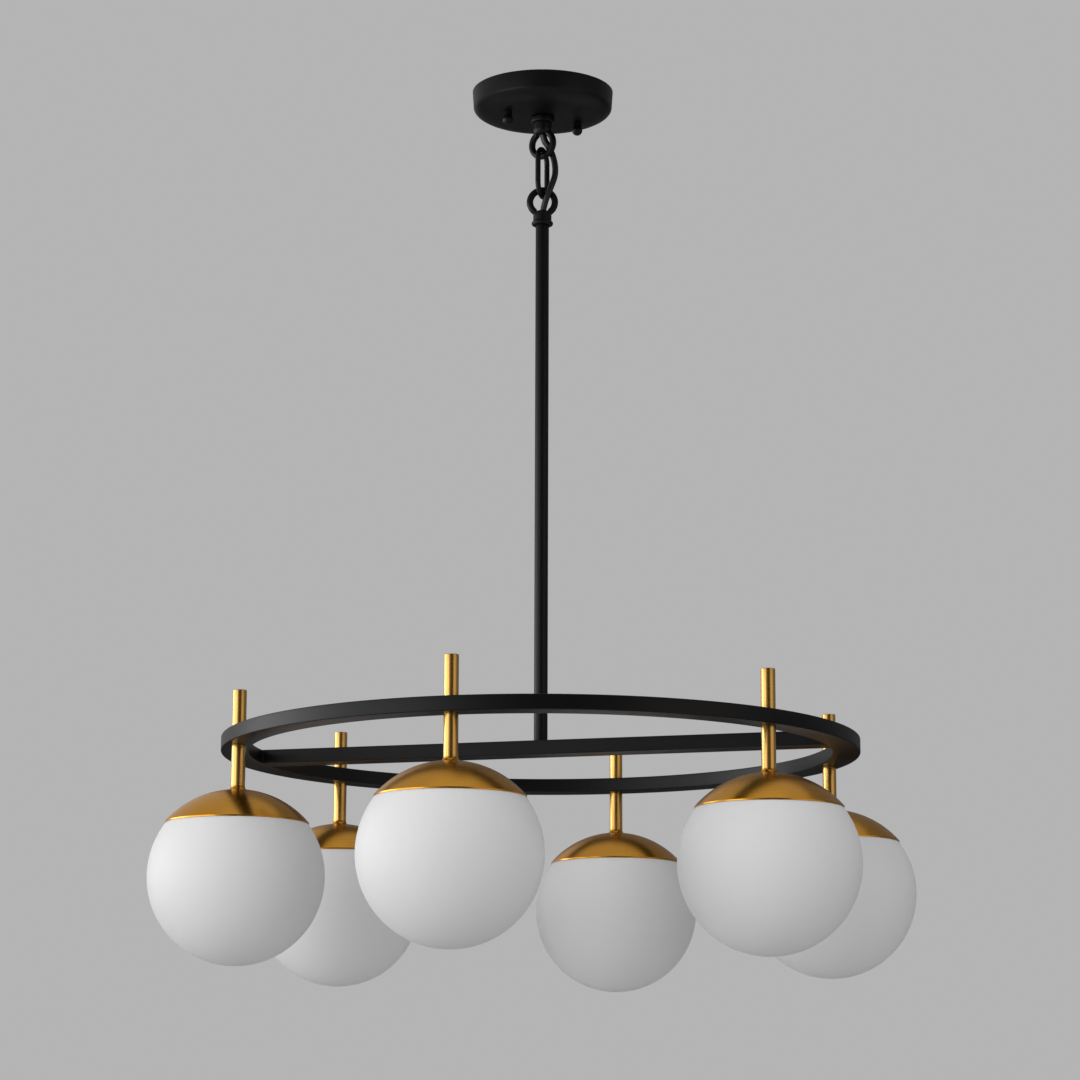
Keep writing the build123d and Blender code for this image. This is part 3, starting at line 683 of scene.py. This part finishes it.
class PENDANT_OT_suspension(bpy.types.Operator):
    """Make the two loops, the chain link and the down rod"""

    bl_idname = "pendant.suspension"
    bl_label = "Loops, link and rod"

    # How far each ring is turned about the upright axis, in degrees
    CANOPY_LOOP_TURN, LINK_TURN, ROD_LOOP_TURN = -17.5, 85, 15.5

    def execute(self, context):
        neck, soft, edge, foot = 8.25 * MM, 5 * MM, 0.3 * MM, 0.2 * MM
        bore, flare, past, proud = 4 * MM, 1.5 * MM, 1 * MM, 0.1 * MM
        mouth = bore + 2 * flare
        reach = LOOP_R - LOOP_WIRE_R - proud
        low, end = CANOPY_RING_Z + reach, COLLAR_LOW + past
        body = [(0, low, 0), (neck, low, soft), (neck, COLLAR_LOW, edge), (0, COLLAR_LOW, 0)]
        body = rounded(body, closed=False)
        hole = [(0, low - flare), (mouth, low - flare), (bore, low + flare), (bore, end), (0, end)]
        canopy_ring = (self.CANOPY_LOOP_TURN, CANOPY_RING_Z)
        self.loop("canopy_eye", canopy_ring, body, hole, "canopy_loop", "ceiling")
        high, end = ROD_RING_Z - reach, ROD_TOP - past
        bead_r, bead_out = 2 * MM, 7.75 * MM
        bead = arc(bead_r, -90, 90, steps=14, centre=(bead_out, ROD_TOP + bead_r))
        top = [(neck, ROD_TOP + 2 * bead_r, 0), (neck, high, soft), (0, high, 0)]
        body = [(0, ROD_TOP), *bead, *rounded(top, closed=False)]
        hole = [(0, end), (bore, end), (bore, high - flare), (mouth, high + flare)]
        hole.append((0, high + flare))
        self.loop("rod_eye", (self.ROD_LOOP_TURN, ROD_RING_Z), body, hole, "rod_loop", "frame")
        self.link()
        outline = sleeve_outline(sizes().tube / 2, BORE_R, ROD_LOW, ROD_TOP, foot, edge)
        turned_piece("rod", outline, "frame", BLACK, ["down_rod"], closed=True, steps=96)
        return {"FINISHED"}

    def loop(self, name, ring, neck, hole, node, body):
        """A cast ring on a turned neck, run together with a soft fillet and bored for the cord."""
        turn, ring_z = ring
        spokes = [(math.cos(b) * LOOP_WIRE_R, math.sin(b) * LOOP_WIRE_R) for b in turns(32)]
        section = [(LOOP_R + out, y) for out, y in spokes]
        rows = [[(r * math.cos(a), y, r * math.sin(a)) for r, y in section] for a in turns(96)]
        torus = skin(name + "_ring", rows, ring=True)
        heading = Matrix.Rotation(math.radians(turn), 4, "Z")
        torus.transform(Matrix.Translation((0, 0, ring_z)) @ heading)
        build = bmesh.new()
        build.from_mesh(torus)
        build.from_mesh(turned_mesh(name + "_neck", neck, steps=64))
        mesh = bpy.data.meshes.new(name + "_rough")
        build.to_mesh(mesh)
        build.free()
        rough = mesh_object(mesh)
        cutter = mesh_object(turned_mesh(name + "_bore", hole, steps=48))
        whole = rough.modifiers.new("One casting", "REMESH")
        whole.mode = "VOXEL"
        whole.voxel_size = 0.3 * MM
        fillet = rough.modifiers.new("Cast fillet", "SMOOTH")
        fillet.factor = 0.5
        fillet.iterations = 8
        bore = rough.modifiers.new("Cord bore", "BOOLEAN")
        bore.operation = "DIFFERENCE"
        bore.object = cutter
        cast = mesh_object(evaluated_mesh(rough, name), sharp=45)
        bpy.data.objects.remove(cutter)
        dress(cast, body, BLACK, [node])

    def link(self):
        """The link: one wire bent to an oval whose ends meet at a seam in one leg."""
        middle, turn = middle_of("chain_link").z, math.radians(self.LINK_TURN)
        leg, half, wire = 11.5 * MM, 10.4 * MM, 4.8 * MM
        seam, drop, steps = 0.5 * MM, 2 * MM, 40
        oval = [(leg, half - drop - seam), (leg, 0), *arc(leg, 0, -180, steps, (0, -half))]
        oval += [(-leg, 0), *arc(leg, 180, 0, steps, (0, half)), (leg, half - drop)]
        points = [(u * math.cos(turn), u * math.sin(turn), middle + v) for u, v in oval]
        piece = mesh_object(tube_mesh("link", points, wire, sides=32), sharp=50)
        bevel = piece.modifiers.new("Cut ends", "BEVEL")
        bevel.width = 0.5 * MM
        bevel.segments = 3
        bevel.limit_method = "ANGLE"
        bevel.angle_limit = math.radians(60)
        dress(piece, "link", BLACK, ["chain_link"])


class PENDANT_OT_ring(bpy.types.Operator):
    """Make the rolled ring, its crossbar and the welds between them"""

    bl_idname = "pendant.ring"
    bl_label = "Ring and crossbar"

    def execute(self, context):
        values = {
            "Ring radius": sizes().ring_radius,
            "Width": sizes().ring_width,
            "Height": RING_TOP - RING_LOW,
            "Edge": sizes().ring_edge,
            "Level": (RING_TOP + RING_LOW) / 2,
            "Finish": finish(BLACK),
        }
        ring = grow(node_tree(rolled_tube_tree), "ring_tube", values, sharp=50)
        dress(ring, "frame", BLACK, ["ring"])
        inner = sizes().ring_radius - sizes().ring_width / 2
        self.crossbar(inner)
        self.welds(inner)
        return {"FINISHED"}

    def crossbar(self, inner):
        """A straight length of the same tube, its ends rounded to the ring."""
        half, edge, steps = sizes().ring_width / 2, sizes().ring_edge, 20
        corners = [(-half, RING_LOW), (half, RING_LOW), (half, RING_TOP), (-half, RING_TOP)]
        section = rounded([(y, z, edge) for y, z in corners])
        rows = []
        for k in range(-steps, steps + 1):
            rows.append([(k / steps * math.sqrt(inner**2 - y**2), y, z) for y, z in section])
        bar = mesh_object(skin("crossbar_tube", rows, capped=True), sharp=50)
        dress(bar, "frame", BLACK, ["crossbar"])

    def welds(self, inner):
        """Small painted fillets in the corners between the crossbar's sides and the ring."""
        side, inset = sizes().ring_width / 2, 1.2 * MM
        curve = bpy.data.curves.new("weld_path", "CURVE")
        curve.dimensions = "3D"
        for end in (-1, 1):
            for y in (-side, side):
                spline = curve.splines.new("POLY")
                spline.points.add(1)
                x = end * math.sqrt(inner**2 - y**2)
                for point, z in zip(spline.points, (RING_LOW + inset, RING_TOP - inset)):
                    point.co = (x, y, z, 1)
        path = link_object("weld_path", curve)
        values = {
            "Path": path,
            "Bead": 1.1 * MM,
            "Spacing": 0.8 * MM,
            "Seed": 7,
            "Finish": finish(BLACK),
        }
        piece = grow(node_tree(weld_tree), "crossbar_welds", values, SMOOTH)
        bpy.data.objects.remove(path)
        dress(piece, "frame", BLACK)


class PENDANT_OT_stems(bpy.types.Operator):
    """Make the brass finials and sleeves on the ring"""

    bl_idname = "pendant.stems"
    bl_label = "Brass stems"

    def execute(self, context):
        tube, top = sizes().tube / 2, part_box("finial_1")[1].z
        edge, foot, tight, solid = 0.55 * MM, 0.2 * MM, 0.08 * MM, 4 * MM
        corners = [(BORE_R, RING_TOP, 0), (tube, RING_TOP, foot), (tube, top, edge), (0, top, 0)]
        outline = rounded(corners, closed=False) + [(0, top - solid), (BORE_R, top - solid)]
        round_the_ring("finials", outline, BRASS, per_lamp("finial"), "brass_tube")
        outline = sleeve_outline(tube, BORE_R, SLEEVE_LOW, RING_LOW, tight, foot)
        round_the_ring("sleeves", outline, BRASS, per_lamp("sleeve"), "brass_tube")
        return {"FINISHED"}


class PENDANT_OT_caps(bpy.types.Operator):
    """Make the spun brass caps and the galleries inside them"""

    bl_idname = "pendant.caps"
    bl_label = "Brass caps"

    def execute(self, context):
        glass, crown, tube = sizes().globe / 2, sizes().cap_crown, sizes().tube / 2
        rim, seat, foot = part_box("cap_1")[0].z - GLOBE_Z, SLEEVE_LOW - GLOBE_Z, 8.4 * MM
        # The dome is a little flatter than the glass; its edge stands upright, close round it
        edge_in, bend = math.sqrt(glass**2 - rim**2) + sizes().cap_gap, rim + sizes().cap_lip
        lip, crisp, soft, curl = 0.4 * MM, 0.1 * MM, 0.2 * MM, 0.5 * MM
        edge = edge_in + lip
        middle = (crown**2 - edge**2 - bend**2) / (2 * (crown - bend))
        outer = crown - middle
        inner = outer - sizes().cap_wall
        dome = self.dome(outer, edge, foot, middle, steps=44)
        lining = self.dome(inner, edge_in, BORE_R, middle, steps=20)
        corners = [(*lining[0], 0), (edge_in, rim, crisp), (edge, rim, soft)]
        corners += [(edge, bend, curl), (*dome[1], 0)]
        # A swept foot runs the dome up into the sleeve
        rise, swell = seat - dome[-1][1], foot - tube
        sweep = [math.radians(15 * k) for k in range(1, 7)]
        flare = [(foot - swell * math.sin(t), seat - rise * math.cos(t)) for t in sweep]
        section = [*rounded(corners, closed=False), *dome[2:], *flare, (BORE_R, seat)]
        section += lining[:0:-1]
        outline = [(x, GLOBE_Z + z) for x, z in section]
        round_the_ring("caps", outline, BRASS, per_lamp("cap"))
        self.galleries()
        return {"FINISHED"}

    def dome(self, radius, wide, narrow, middle, steps):
        """Points up a dome from its wide edge to its narrow one, its centre on the axis."""
        ends = [math.degrees(math.acos(out / radius)) for out in (wide, narrow)]
        return arc(radius, *ends, steps, (0.0, middle))

    def galleries(self):
        """Pressed pans whose skirts take the glass necks."""
        low, high = (corner.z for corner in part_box("galleries"))
        skirt_out, skirt_in, wall, edge = 43.4 * MM, 42.4 * MM, 1 * MM, 0.3 * MM
        bend = 2.5 * MM
        corners = [
            (BORE_R, high - wall, 0),
            (skirt_in, high - wall, bend),
            (skirt_in, low, edge),
            (skirt_out, low, edge),
            (skirt_out, high, bend + wall),
            (BORE_R, high, 0),
        ]
        round_the_ring("gallery_pans", rounded(corners), ZINC, ["galleries"])


class PENDANT_OT_globes(bpy.types.Operator):
    """Make the opal glass globes with their threaded necks"""

    bl_idname = "pendant.globes"
    bl_label = "Opal globes"

    def execute(self, context):
        outer, wall, edge = sizes().globe / 2, sizes().glass, 2.5 * MM
        inner, neck, lip, root = outer - wall, 42 * MM, 1.3 * MM, 1.2 * MM
        neck_tall, thread_up, sunk = 9.5 * MM, 2.8 * MM, 0.12 * MM
        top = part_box("globe_1")[1].z - GLOBE_Z
        shoulder = top - neck_tall
        edge_z = shoulder - edge
        edge_at = (math.sqrt((outer - edge) ** 2 - edge_z**2), edge_z)
        edge_turn = math.degrees(math.atan2(edge_at[1], edge_at[0]))
        in_turn = math.degrees(math.asin((shoulder - wall) / inner))
        corners = [
            (edge_at[0], shoulder, 0),
            (neck, shoulder, root),
            (neck, top, lip),
            (neck - wall, top, lip),
            (neck - wall, shoulder - wall, root),
            (inner * math.cos(math.radians(in_turn)), shoulder - wall, 0),
        ]
        outline = [(0, -outer), *arc(outer, -90, edge_turn, steps=80)[1:]]
        outline += arc(edge, edge_turn, 90, steps=8, centre=edge_at)[1:]
        outline += rounded(corners, closed=False)[1:-1]
        outline += [*arc(inner, in_turn, -90, steps=60)[:-1], (0, -inner)]
        for n, axis in zip(LAMPS, LAMP_AXES):
            body, centre = f"globe_{n}", Vector((*axis, GLOBE_Z))
            turned_piece(f"opal_globe_{n}", outline, body, OPAL, [body], centre=centre)
            values = {
                "Radius": neck - sunk,
                "Crest": 0.4 * MM,
                "Turns": 1.5,
                "Height": 4.5 * MM,
                "Foot": centre + Vector((0, 0, shoulder + thread_up)),
                "Finish": finish(OPAL),
            }
            dress(grow(node_tree(thread_tree), f"neck_thread_{n}", values, SMOOTH), body, OPAL)
        return {"FINISHED"}


class PENDANT_OT_lamps(bpy.types.Operator):
    """Make the porcelain lampholders and the lamps in them"""

    bl_idname = "pendant.lamps"
    bl_label = "Lampholders and lamps"

    PITCH = 3.6 * MM  # of the lamp's thread

    def execute(self, context):
        mouth, top = (corner.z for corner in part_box("lampholder_1"))
        body, boss, core, socket = 18 * MM, 11 * MM, 4 * MM, 13.4 * MM
        socket_top, nipple_low, edge = mouth + 24.9 * MM, top - 6 * MM, 0.8 * MM
        waist, boss_low = top - 8 * MM, top - 5 * MM
        corners = [
            (BORE_R, top, 0),
            (BORE_R, nipple_low, 0),
            (core, nipple_low, 0),
            (core, socket_top, 0),
            (socket, socket_top, edge),
            (socket, mouth, edge),
            (body, mouth, 1.5 * MM),
            (body, waist, 2 * MM),
            (boss, boss_low, edge),
            (boss, top, edge),
        ]
        holders = per_lamp("lampholder")
        round_the_ring("porcelain_holders", rounded(corners), "porcelain", holders)
        # A thin threaded shell lines each socket
        gap, sheet, depth = 0.1 * MM, 0.08 * MM, 0.22 * MM
        start, rise, rows = 1.5 * MM, 0.6 * MM, 38
        inside, levels = socket - gap, [mouth + start + k * rise for k in range(rows)]
        shell = [(inside + sheet, z) for z in levels] + [(inside, z) for z in levels[::-1]]
        thread = (depth, self.PITCH)
        round_the_ring("socket_shells", shell, ZINC, coat="nickel", steps=48, thread=thread)
        for n, axis in zip(LAMPS, LAMP_AXES):
            self.lamp(n, Vector((*axis, mouth)))
        return {"FINISHED"}

    def lamp(self, n, mouth):
        """A round lamp, measured from the lampholder's mouth: envelope, threaded base and tip."""
        ball, neck, base, foot = 22.5 * MM, 14.5 * MM, 13 * MM, -0.4 * MM
        edge, drop, neck_low, short = 0.5 * MM, 54 * MM, -4 * MM, 10
        middle, joint = ball - drop, math.degrees(math.acos(neck / ball))
        waist = middle + ball * math.sin(math.radians(joint))
        # The ball ends some degrees short of the neck, and a soft curve runs it in
        curve = ((0.6 * MM, 0.6 * MM), (0.1 * MM, 2.6 * MM))
        globe = arc(ball, -90, joint - short, steps=48, centre=(0, middle))
        outline = [(0, middle - ball), *globe[1:]]
        outline += [(neck + out, waist + up) for out, up in curve]
        outline += [(neck, neck_low), (neck, foot - edge), (neck - edge, foot)]
        outline += [(base - edge, foot), (0, foot)]
        body, bulb = f"lamp_{n}", [f"bulb_{n}"]
        name = f"lamp_glass_{n}"
        turned_piece(name, outline, body, "lamp_diffuser", bulb, centre=mouth, steps=96)
        rise, rows, depth = 0.3 * MM, 75, 0.9 * MM
        base_top, base_end = 22.4 * MM, 9 * MM
        shell = [(0, foot), *((base, foot + k * rise) for k in range(rows))]
        shell += [(base_end, base_top), (0, base_top)]
        shape = {"centre": mouth, "steps": 64, "thread": (depth, self.PITCH)}
        turned_piece(f"lamp_base_{n}", shell, body, ZINC, coat="nickel", **shape)
        # The contact's radii and heights, in millimetres
        tip = [(0, 22), (8.4, 22.3), (5, 23.8), (4.6, 24.3), (2.6, 24.5), (0, 24.5)]
        tip = [(r * MM, z * MM) for r, z in tip]
        shape = {"centre": mouth, "steps": 48}
        turned_piece(f"lamp_tip_{n}", tip, body, ZINC, coat="tinned_copper", **shape)


class PENDANT_OT_cords(bpy.types.Operator):
    """Make the supply cord, the bare wire beside it and the lead's end in the canopy"""

    bl_idname = "pendant.cords"
    bl_label = "Supply cord"

    # The cord's route in millimetres, from neck to neck, in two lengths that meet beside the link
    JOINT = (10.9, 3.2, -70.2)
    UPPER = ((0, 0, -30), (0, 0, -42.5), (5.9, 3.2, -52), (9.9, 4.6, -63.5), JOINT)
    LOWER = (JOINT, (11.9, 1.8, -76.9), (10.2, -4.4, -89), (5.1, -4.8, -100.8))
    LOWER += ((0, 0, -113), (0, 0, -125))
    TOP_NECK, LOW_NECK = (0, 0, -43), (0, 0, -113)
    # Each length's name, route, length in millimetres, node, bodies, the two ends of its bend,
    # and the bare wire's first and last angle
    TOP = ("cord_to_link", UPPER, 42.8, "cord_upper", ("ceiling", "link"), TOP_NECK, JOINT, (0, 80))
    LOW = ("cord_to_rod", LOWER, 58.8, "cord_lower", ("link", "frame"), JOINT, LOW_NECK, (80, 80))
    SIDES = 28

    def execute(self, context):
        for name, route, long, node, bodies, start, end, angles in (self.TOP, self.LOW):
            path = self.spline_points(name, route)
            cord = mesh_object(tube_mesh(name, path, sizes().cord, self.SIDES))
            cord.data.materials.append(finish(CORD))
            wire = self.ground_wire(name + "_ground", path, *angles)
            for piece in (cord, wire):
                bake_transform(piece)
            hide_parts(node)
        self.lead_end()
        return {"FINISHED"}

    def spline_points(self, name, route):
        """Points along a smooth spline that has the route's points as its control points."""
        curve = bpy.data.curves.new(name + "_line", "CURVE")
        curve.dimensions = "3D"
        curve.resolution_u = 24
        spline = curve.splines.new("NURBS")
        spline.points.add(len(route) - 1)
        for point, at in zip(spline.points, route):
            point.co = (*(Vector(at) * MM), 1)
        spline.order_u = 3
        spline.use_endpoint_u = True
        mesh = evaluated_mesh(link_object(name + "_line", curve), name + "_line")
        points = [vertex.co.copy() for vertex in mesh.vertices]
        bpy.data.meshes.remove(mesh)
        return points

    def ground_wire(self, name, path, start, end):
        """A thin bare wire against the cord, at angles from its left (0) to behind it (90)."""
        # Left and behind are as the camera sees the cord
        left, behind = Vector((-0.963, -0.269, 0)), Vector((-0.269, 0.963, 0))
        away, last = (sizes().cord + sizes().ground_wire) / 2, len(path) - 1
        points = []
        for k, point in enumerate(path):
            run = path[min(k + 1, last)] - path[max(k - 1, 0)]
            turn = math.radians(start + (end - start) * k / last)
            side = left * math.cos(turn) + behind * math.sin(turn)
            side -= run * side.dot(run) / run.length_squared
            points.append(point + side.normalized() * away)
        wire = mesh_object(tube_mesh(name, points, sizes().ground_wire, sides=12))
        wire.data.materials.append(finish("tinned_copper"))
        return wire

    def lead_end(self):
        """The cord's end inside the canopy, with its three conductors bared."""
        low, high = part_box("supply_lead")
        line = [(0, 0, low.z + (high.z - low.z) * k / 4) for k in range(5)]
        mesh = tube_mesh("supply_cord_end", line, sizes().cord, self.SIDES)
        dress(mesh_object(mesh), "ceiling", CORD, ["supply_lead"])
        out, up, cover, core = 1.35 * MM, 1 * MM, 2.2 * MM, 1.2 * MM
        for coat, turn in zip(("black_lead", "white_lead", "green_lead"), turns(3)):
            x, y, foot = out * math.cos(turn), out * math.sin(turn), high.z - up
            line = [(x, y, foot + up * k) for k in range(6)]
            mesh = tube_mesh(coat, line[:4], cover, sides=16)
            dress(mesh_object(mesh), "ceiling", CORD, coat=coat)
            mesh = tube_mesh(coat + "_core", line[2:], core, sides=12)
            dress(mesh_object(mesh), "ceiling", ZINC, coat="tinned_copper")


class PENDANT_OT_fittings(bpy.types.Operator):
    """Give the strap, nuts and threaded tubes their finishes, and cut the threads that show"""

    bl_idname = "pendant.fittings"
    bl_label = "Fittings"

    def execute(self, context):
        slots = {part["node"]: part["material_slot"] for part in frame["record"]["subparts"]}
        for name, node in frame["nodes"].items():
            if not node.hide_render:
                coat = "black_lead" if slots[name] == CORD else slots[name]
                node.data.materials.clear()
                node.data.materials.append(finish(coat))
        stud_r, stud_pitch, stud_low, stud_top = 2 * MM, 0.7 * MM, CANOPY_LOW + 1.5 * MM, -4 * MM
        for n in (1, 2):
            foot = middle_of(f"canopy_nut_{n}")
            foot.z = stud_low
            self.thread(f"stud_thread_{n}", stud_r, stud_pitch, foot, stud_top)
        nipple_r, nipple_pitch = 5 * MM, 0.94 * MM
        foot = Vector((0, 0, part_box("canopy_locknut")[1].z))
        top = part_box("canopy_nipple")[1].z
        self.thread("nipple_thread", nipple_r, nipple_pitch, foot, top)
        return {"FINISHED"}

    def thread(self, name, radius, pitch, foot, top):
        """The crests of a thread on a stud or threaded tube inside the canopy."""
        values = {
            "Radius": radius - 0.1 * pitch,
            "Crest": 0.3 * pitch,
            "Turns": (top - foot.z) / pitch,
            "Height": top - foot.z,
            "Foot": foot,
            "Finish": finish(ZINC),
        }
        dress(grow(node_tree(thread_tree), name, values, SMOOTH), "ceiling", ZINC)


class PENDANT_OT_stage(bpy.types.Operator):
    """Set the camera, the floor and the studio light"""

    bl_idname = "pendant.stage"
    bl_label = "Stage"

    AIM = Vector((0, 0, -0.5))  # what the lights face
    CARDS_AWAY = 3.6

    def execute(self, context):
        scene = context.scene
        scene.view_settings.view_transform = "Standard"
        studio = scene.pendant_studio
        self.camera(scene, studio)
        self.floor(studio)
        self.room(scene, studio)
        # Each light's name, power in W, sides, bearing, distance, height and colour.
        # Bearings are in degrees to the left of the camera, as the object sees it.
        white, warm = "#ffffff", "#ffcf8c"
        soft = (
            ("window_light", studio.window, (4.5, 1.8), (62, 3.4, -0.35), white),
            ("fill_light", 7, (3.0, 1.8), (-38, 3.4, -0.35), white),
        )
        for values in soft:
            self.light(studio, *values).visible_glossy = False
        shine = (
            ("shine_left", 12.5, (2.04, 1.3), (57, 2.4, -0.4), white),
            ("shine_edge", 22, (1.75, 1.3), (100, 2.4, -0.4), white),
            ("shine_right", 1.7, (1.5, 1.5), (-46, 2.6, -0.2), warm),
            ("shine_above", 0.8, (1.6, 1.2), (0, 0.5, 1.6), white),
        )
        for values in shine:
            self.light(studio, *values).visible_diffuse = False
        # The edge light would glare along the canopy's flat bottom, so it leaves the canopy out
        spared = bpy.data.collections.new("away_from_edge_light")
        spared.objects.link(bpy.data.objects["canopy_shell"])
        spared.collection_objects[0].light_linking.link_state = "EXCLUDE"
        bpy.data.objects["shine_edge"].light_linking.receiver_collection = spared
        # Each card's bearings, heights and shade
        self.card("card_by_camera", studio, (16, -30), (-2.0, 0.9), "#565656")
        self.card("card_high", studio, (75, -80), (0.9, 2.8), "#141414")
        self.card("card_low", studio, (-80, -230), (-2.4, -0.75), "#242424")
        flag = self.card("card_behind", studio, (-80, -195), (-0.75, 4.5), "#8a8a8a")
        # The last card also keeps light off the object's far side
        flag.visible_diffuse = True
        flag.visible_shadow = True
        return {"FINISHED"}

    def spot(self, studio, bearing, away, z):
        """A point at a bearing from the camera, seen from the object."""
        turn = studio.camera_turn - math.radians(90 + bearing)
        return Vector((away * math.cos(turn), away * math.sin(turn), z))

    def camera(self, scene, studio):
        """The camera, at the place and angle that the object is seen from."""
        data = bpy.data.cameras.new("camera")
        data.sensor_width = 36
        data.lens = studio.lens
        data.clip_end = 50
        made = link_object("camera", data)
        made.location = studio.camera_at
        heading = Matrix.Rotation(studio.camera_turn, 3, "Z")
        tilt = Matrix.Rotation(math.pi / 2 + studio.camera_tilt, 3, "X")
        roll = Matrix.Rotation(studio.camera_roll, 3, "Z")
        made.rotation_euler = (heading @ tilt @ roll).to_euler()
        scene.camera = made

    def floor(self, studio):
        """A plain pale floor under the object."""
        build = bmesh.new()
        bmesh.ops.create_grid(build, x_segments=8, y_segments=8, size=9)
        bmesh.ops.translate(build, vec=(0, 0, studio.floor_z), verts=build.verts)
        mesh = bpy.data.meshes.new("floor")
        build.to_mesh(mesh)
        build.free()
        # Smooth screed: a pale matt grey with wide, faint clouds
        tones, cloud, matt = ("floor", "#c4c4c4"), (900, 3.0), {"Roughness": 0.9}
        mesh.materials.append(new_material("pale screed, trowelled", tones, cloud, shader=matt))
        mesh_object(mesh)

    def room(self, scene, studio):
        """Even light from all round, and a plain backdrop that the camera, metal and glass see."""
        world = bpy.data.worlds.new("room")
        world.use_nodes = True
        tree = world.node_tree
        tree.nodes.clear()
        light = {"Color": linear("#ffffff"), "Strength": studio.room}
        glow = add(tree, "ShaderNodeBackground", light)["Background"]
        paper = {"Color": colours().backdrop, "Strength": 1.0}
        plain = add(tree, "ShaderNodeBackground", paper)["Background"]
        ray = add(tree, "ShaderNodeLightPath")
        seen = ray["Is Camera Ray"]
        for kind in ("Is Glossy Ray", "Is Transmission Ray"):
            either = {0: seen, 1: ray[kind]}
            seen = add(tree, "ShaderNodeMath", either, operation="MAXIMUM")["Value"]
        mix = add(tree, "ShaderNodeMixShader", {0: seen, 1: glow, 2: plain})
        add(tree, "ShaderNodeOutputWorld", {"Surface": mix["Shader"]})
        scene.world = world

    def light(self, studio, name, power, size, place, tint):
        """A soft rectangular light that faces the object."""
        data = bpy.data.lights.new(name, "AREA")
        data.shape = "RECTANGLE"
        data.size, data.size_y = size
        data.energy = power
        data.color = linear(tint)[:3]
        made = link_object(name, data)
        made.location = self.spot(studio, *place)
        facing = self.AIM - made.location
        made.rotation_euler = facing.to_track_quat("-Z", "Y").to_euler()
        made.visible_camera = False
        return made

    def card(self, name, studio, bearings, heights, shade):
        """A tall curved card out of the camera's sight, for satin metal to mirror as bands."""
        (start, end), steps = bearings, 12
        points = []
        for k in range(steps + 1):
            bearing = start + (end - start) * k / steps
            points += [self.spot(studio, bearing, self.CARDS_AWAY, z) for z in heights]
        faces = [(k, k + 2, k + 3, k + 1) for k in range(0, 2 * steps, 2)]
        mesh = bpy.data.meshes.new(name)
        mesh.from_pydata(points, [], faces)
        # Matt card: one even shade with no highlight of its own
        stock = new_material("card, matt " + shade, (shade,), shader={"Roughness": 0.9})
        mesh.materials.append(stock)
        made = mesh_object(mesh)
        made.visible_camera = False
        made.visible_diffuse = False
        made.visible_shadow = False
        return made


class PENDANT_PT_panel(bpy.types.Panel):
    """The pendant's sizes, colours and steps"""

    bl_idname = "PENDANT_PT_panel"
    bl_label = "Ring Pendant"
    bl_space_type = "VIEW_3D"
    bl_region_type = "UI"
    bl_category = "Pendant"

    def draw(self, context):
        scene = context.scene
        for group in (scene.pendant_sizes, scene.pendant_colours, scene.pendant_studio):
            column = self.layout.column(align=True)
            for name in type(group).__annotations__:
                column.prop(group, name)
        for operator in OPERATORS:
            self.layout.operator(operator.bl_idname)


OPERATORS = (
    PENDANT_OT_cords,
    PENDANT_OT_canopy,
    PENDANT_OT_suspension,
    PENDANT_OT_ring,
    PENDANT_OT_stems,
    PENDANT_OT_caps,
    PENDANT_OT_globes,
    PENDANT_OT_lamps,
    PENDANT_OT_fittings,
    PENDANT_OT_stage,
)
CLASSES = (PendantSizes, PendantColours, PendantStudio, *OPERATORS, PENDANT_PT_panel)


def register():
    for made in CLASSES:
        bpy.utils.register_class(made)
    bpy.types.Scene.pendant_sizes = PointerProperty(type=PendantSizes)
    bpy.types.Scene.pendant_colours = PointerProperty(type=PendantColours)
    bpy.types.Scene.pendant_studio = PointerProperty(type=PendantStudio)


def unregister():
    del bpy.types.Scene.pendant_sizes
    del bpy.types.Scene.pendant_colours
    del bpy.types.Scene.pendant_studio
    for made in reversed(CLASSES):
        bpy.utils.unregister_class(made)


def main():
    """Register the add-on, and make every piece."""
    register()
    bpy.ops.pendant.cords()
    bpy.ops.pendant.canopy()
    bpy.ops.pendant.suspension()
    bpy.ops.pendant.ring()
    bpy.ops.pendant.stems()
    bpy.ops.pendant.caps()
    bpy.ops.pendant.globes()
    bpy.ops.pendant.lamps()
    bpy.ops.pendant.fittings()
    bpy.ops.pendant.stage()


if __name__ == "__main__":
    main()
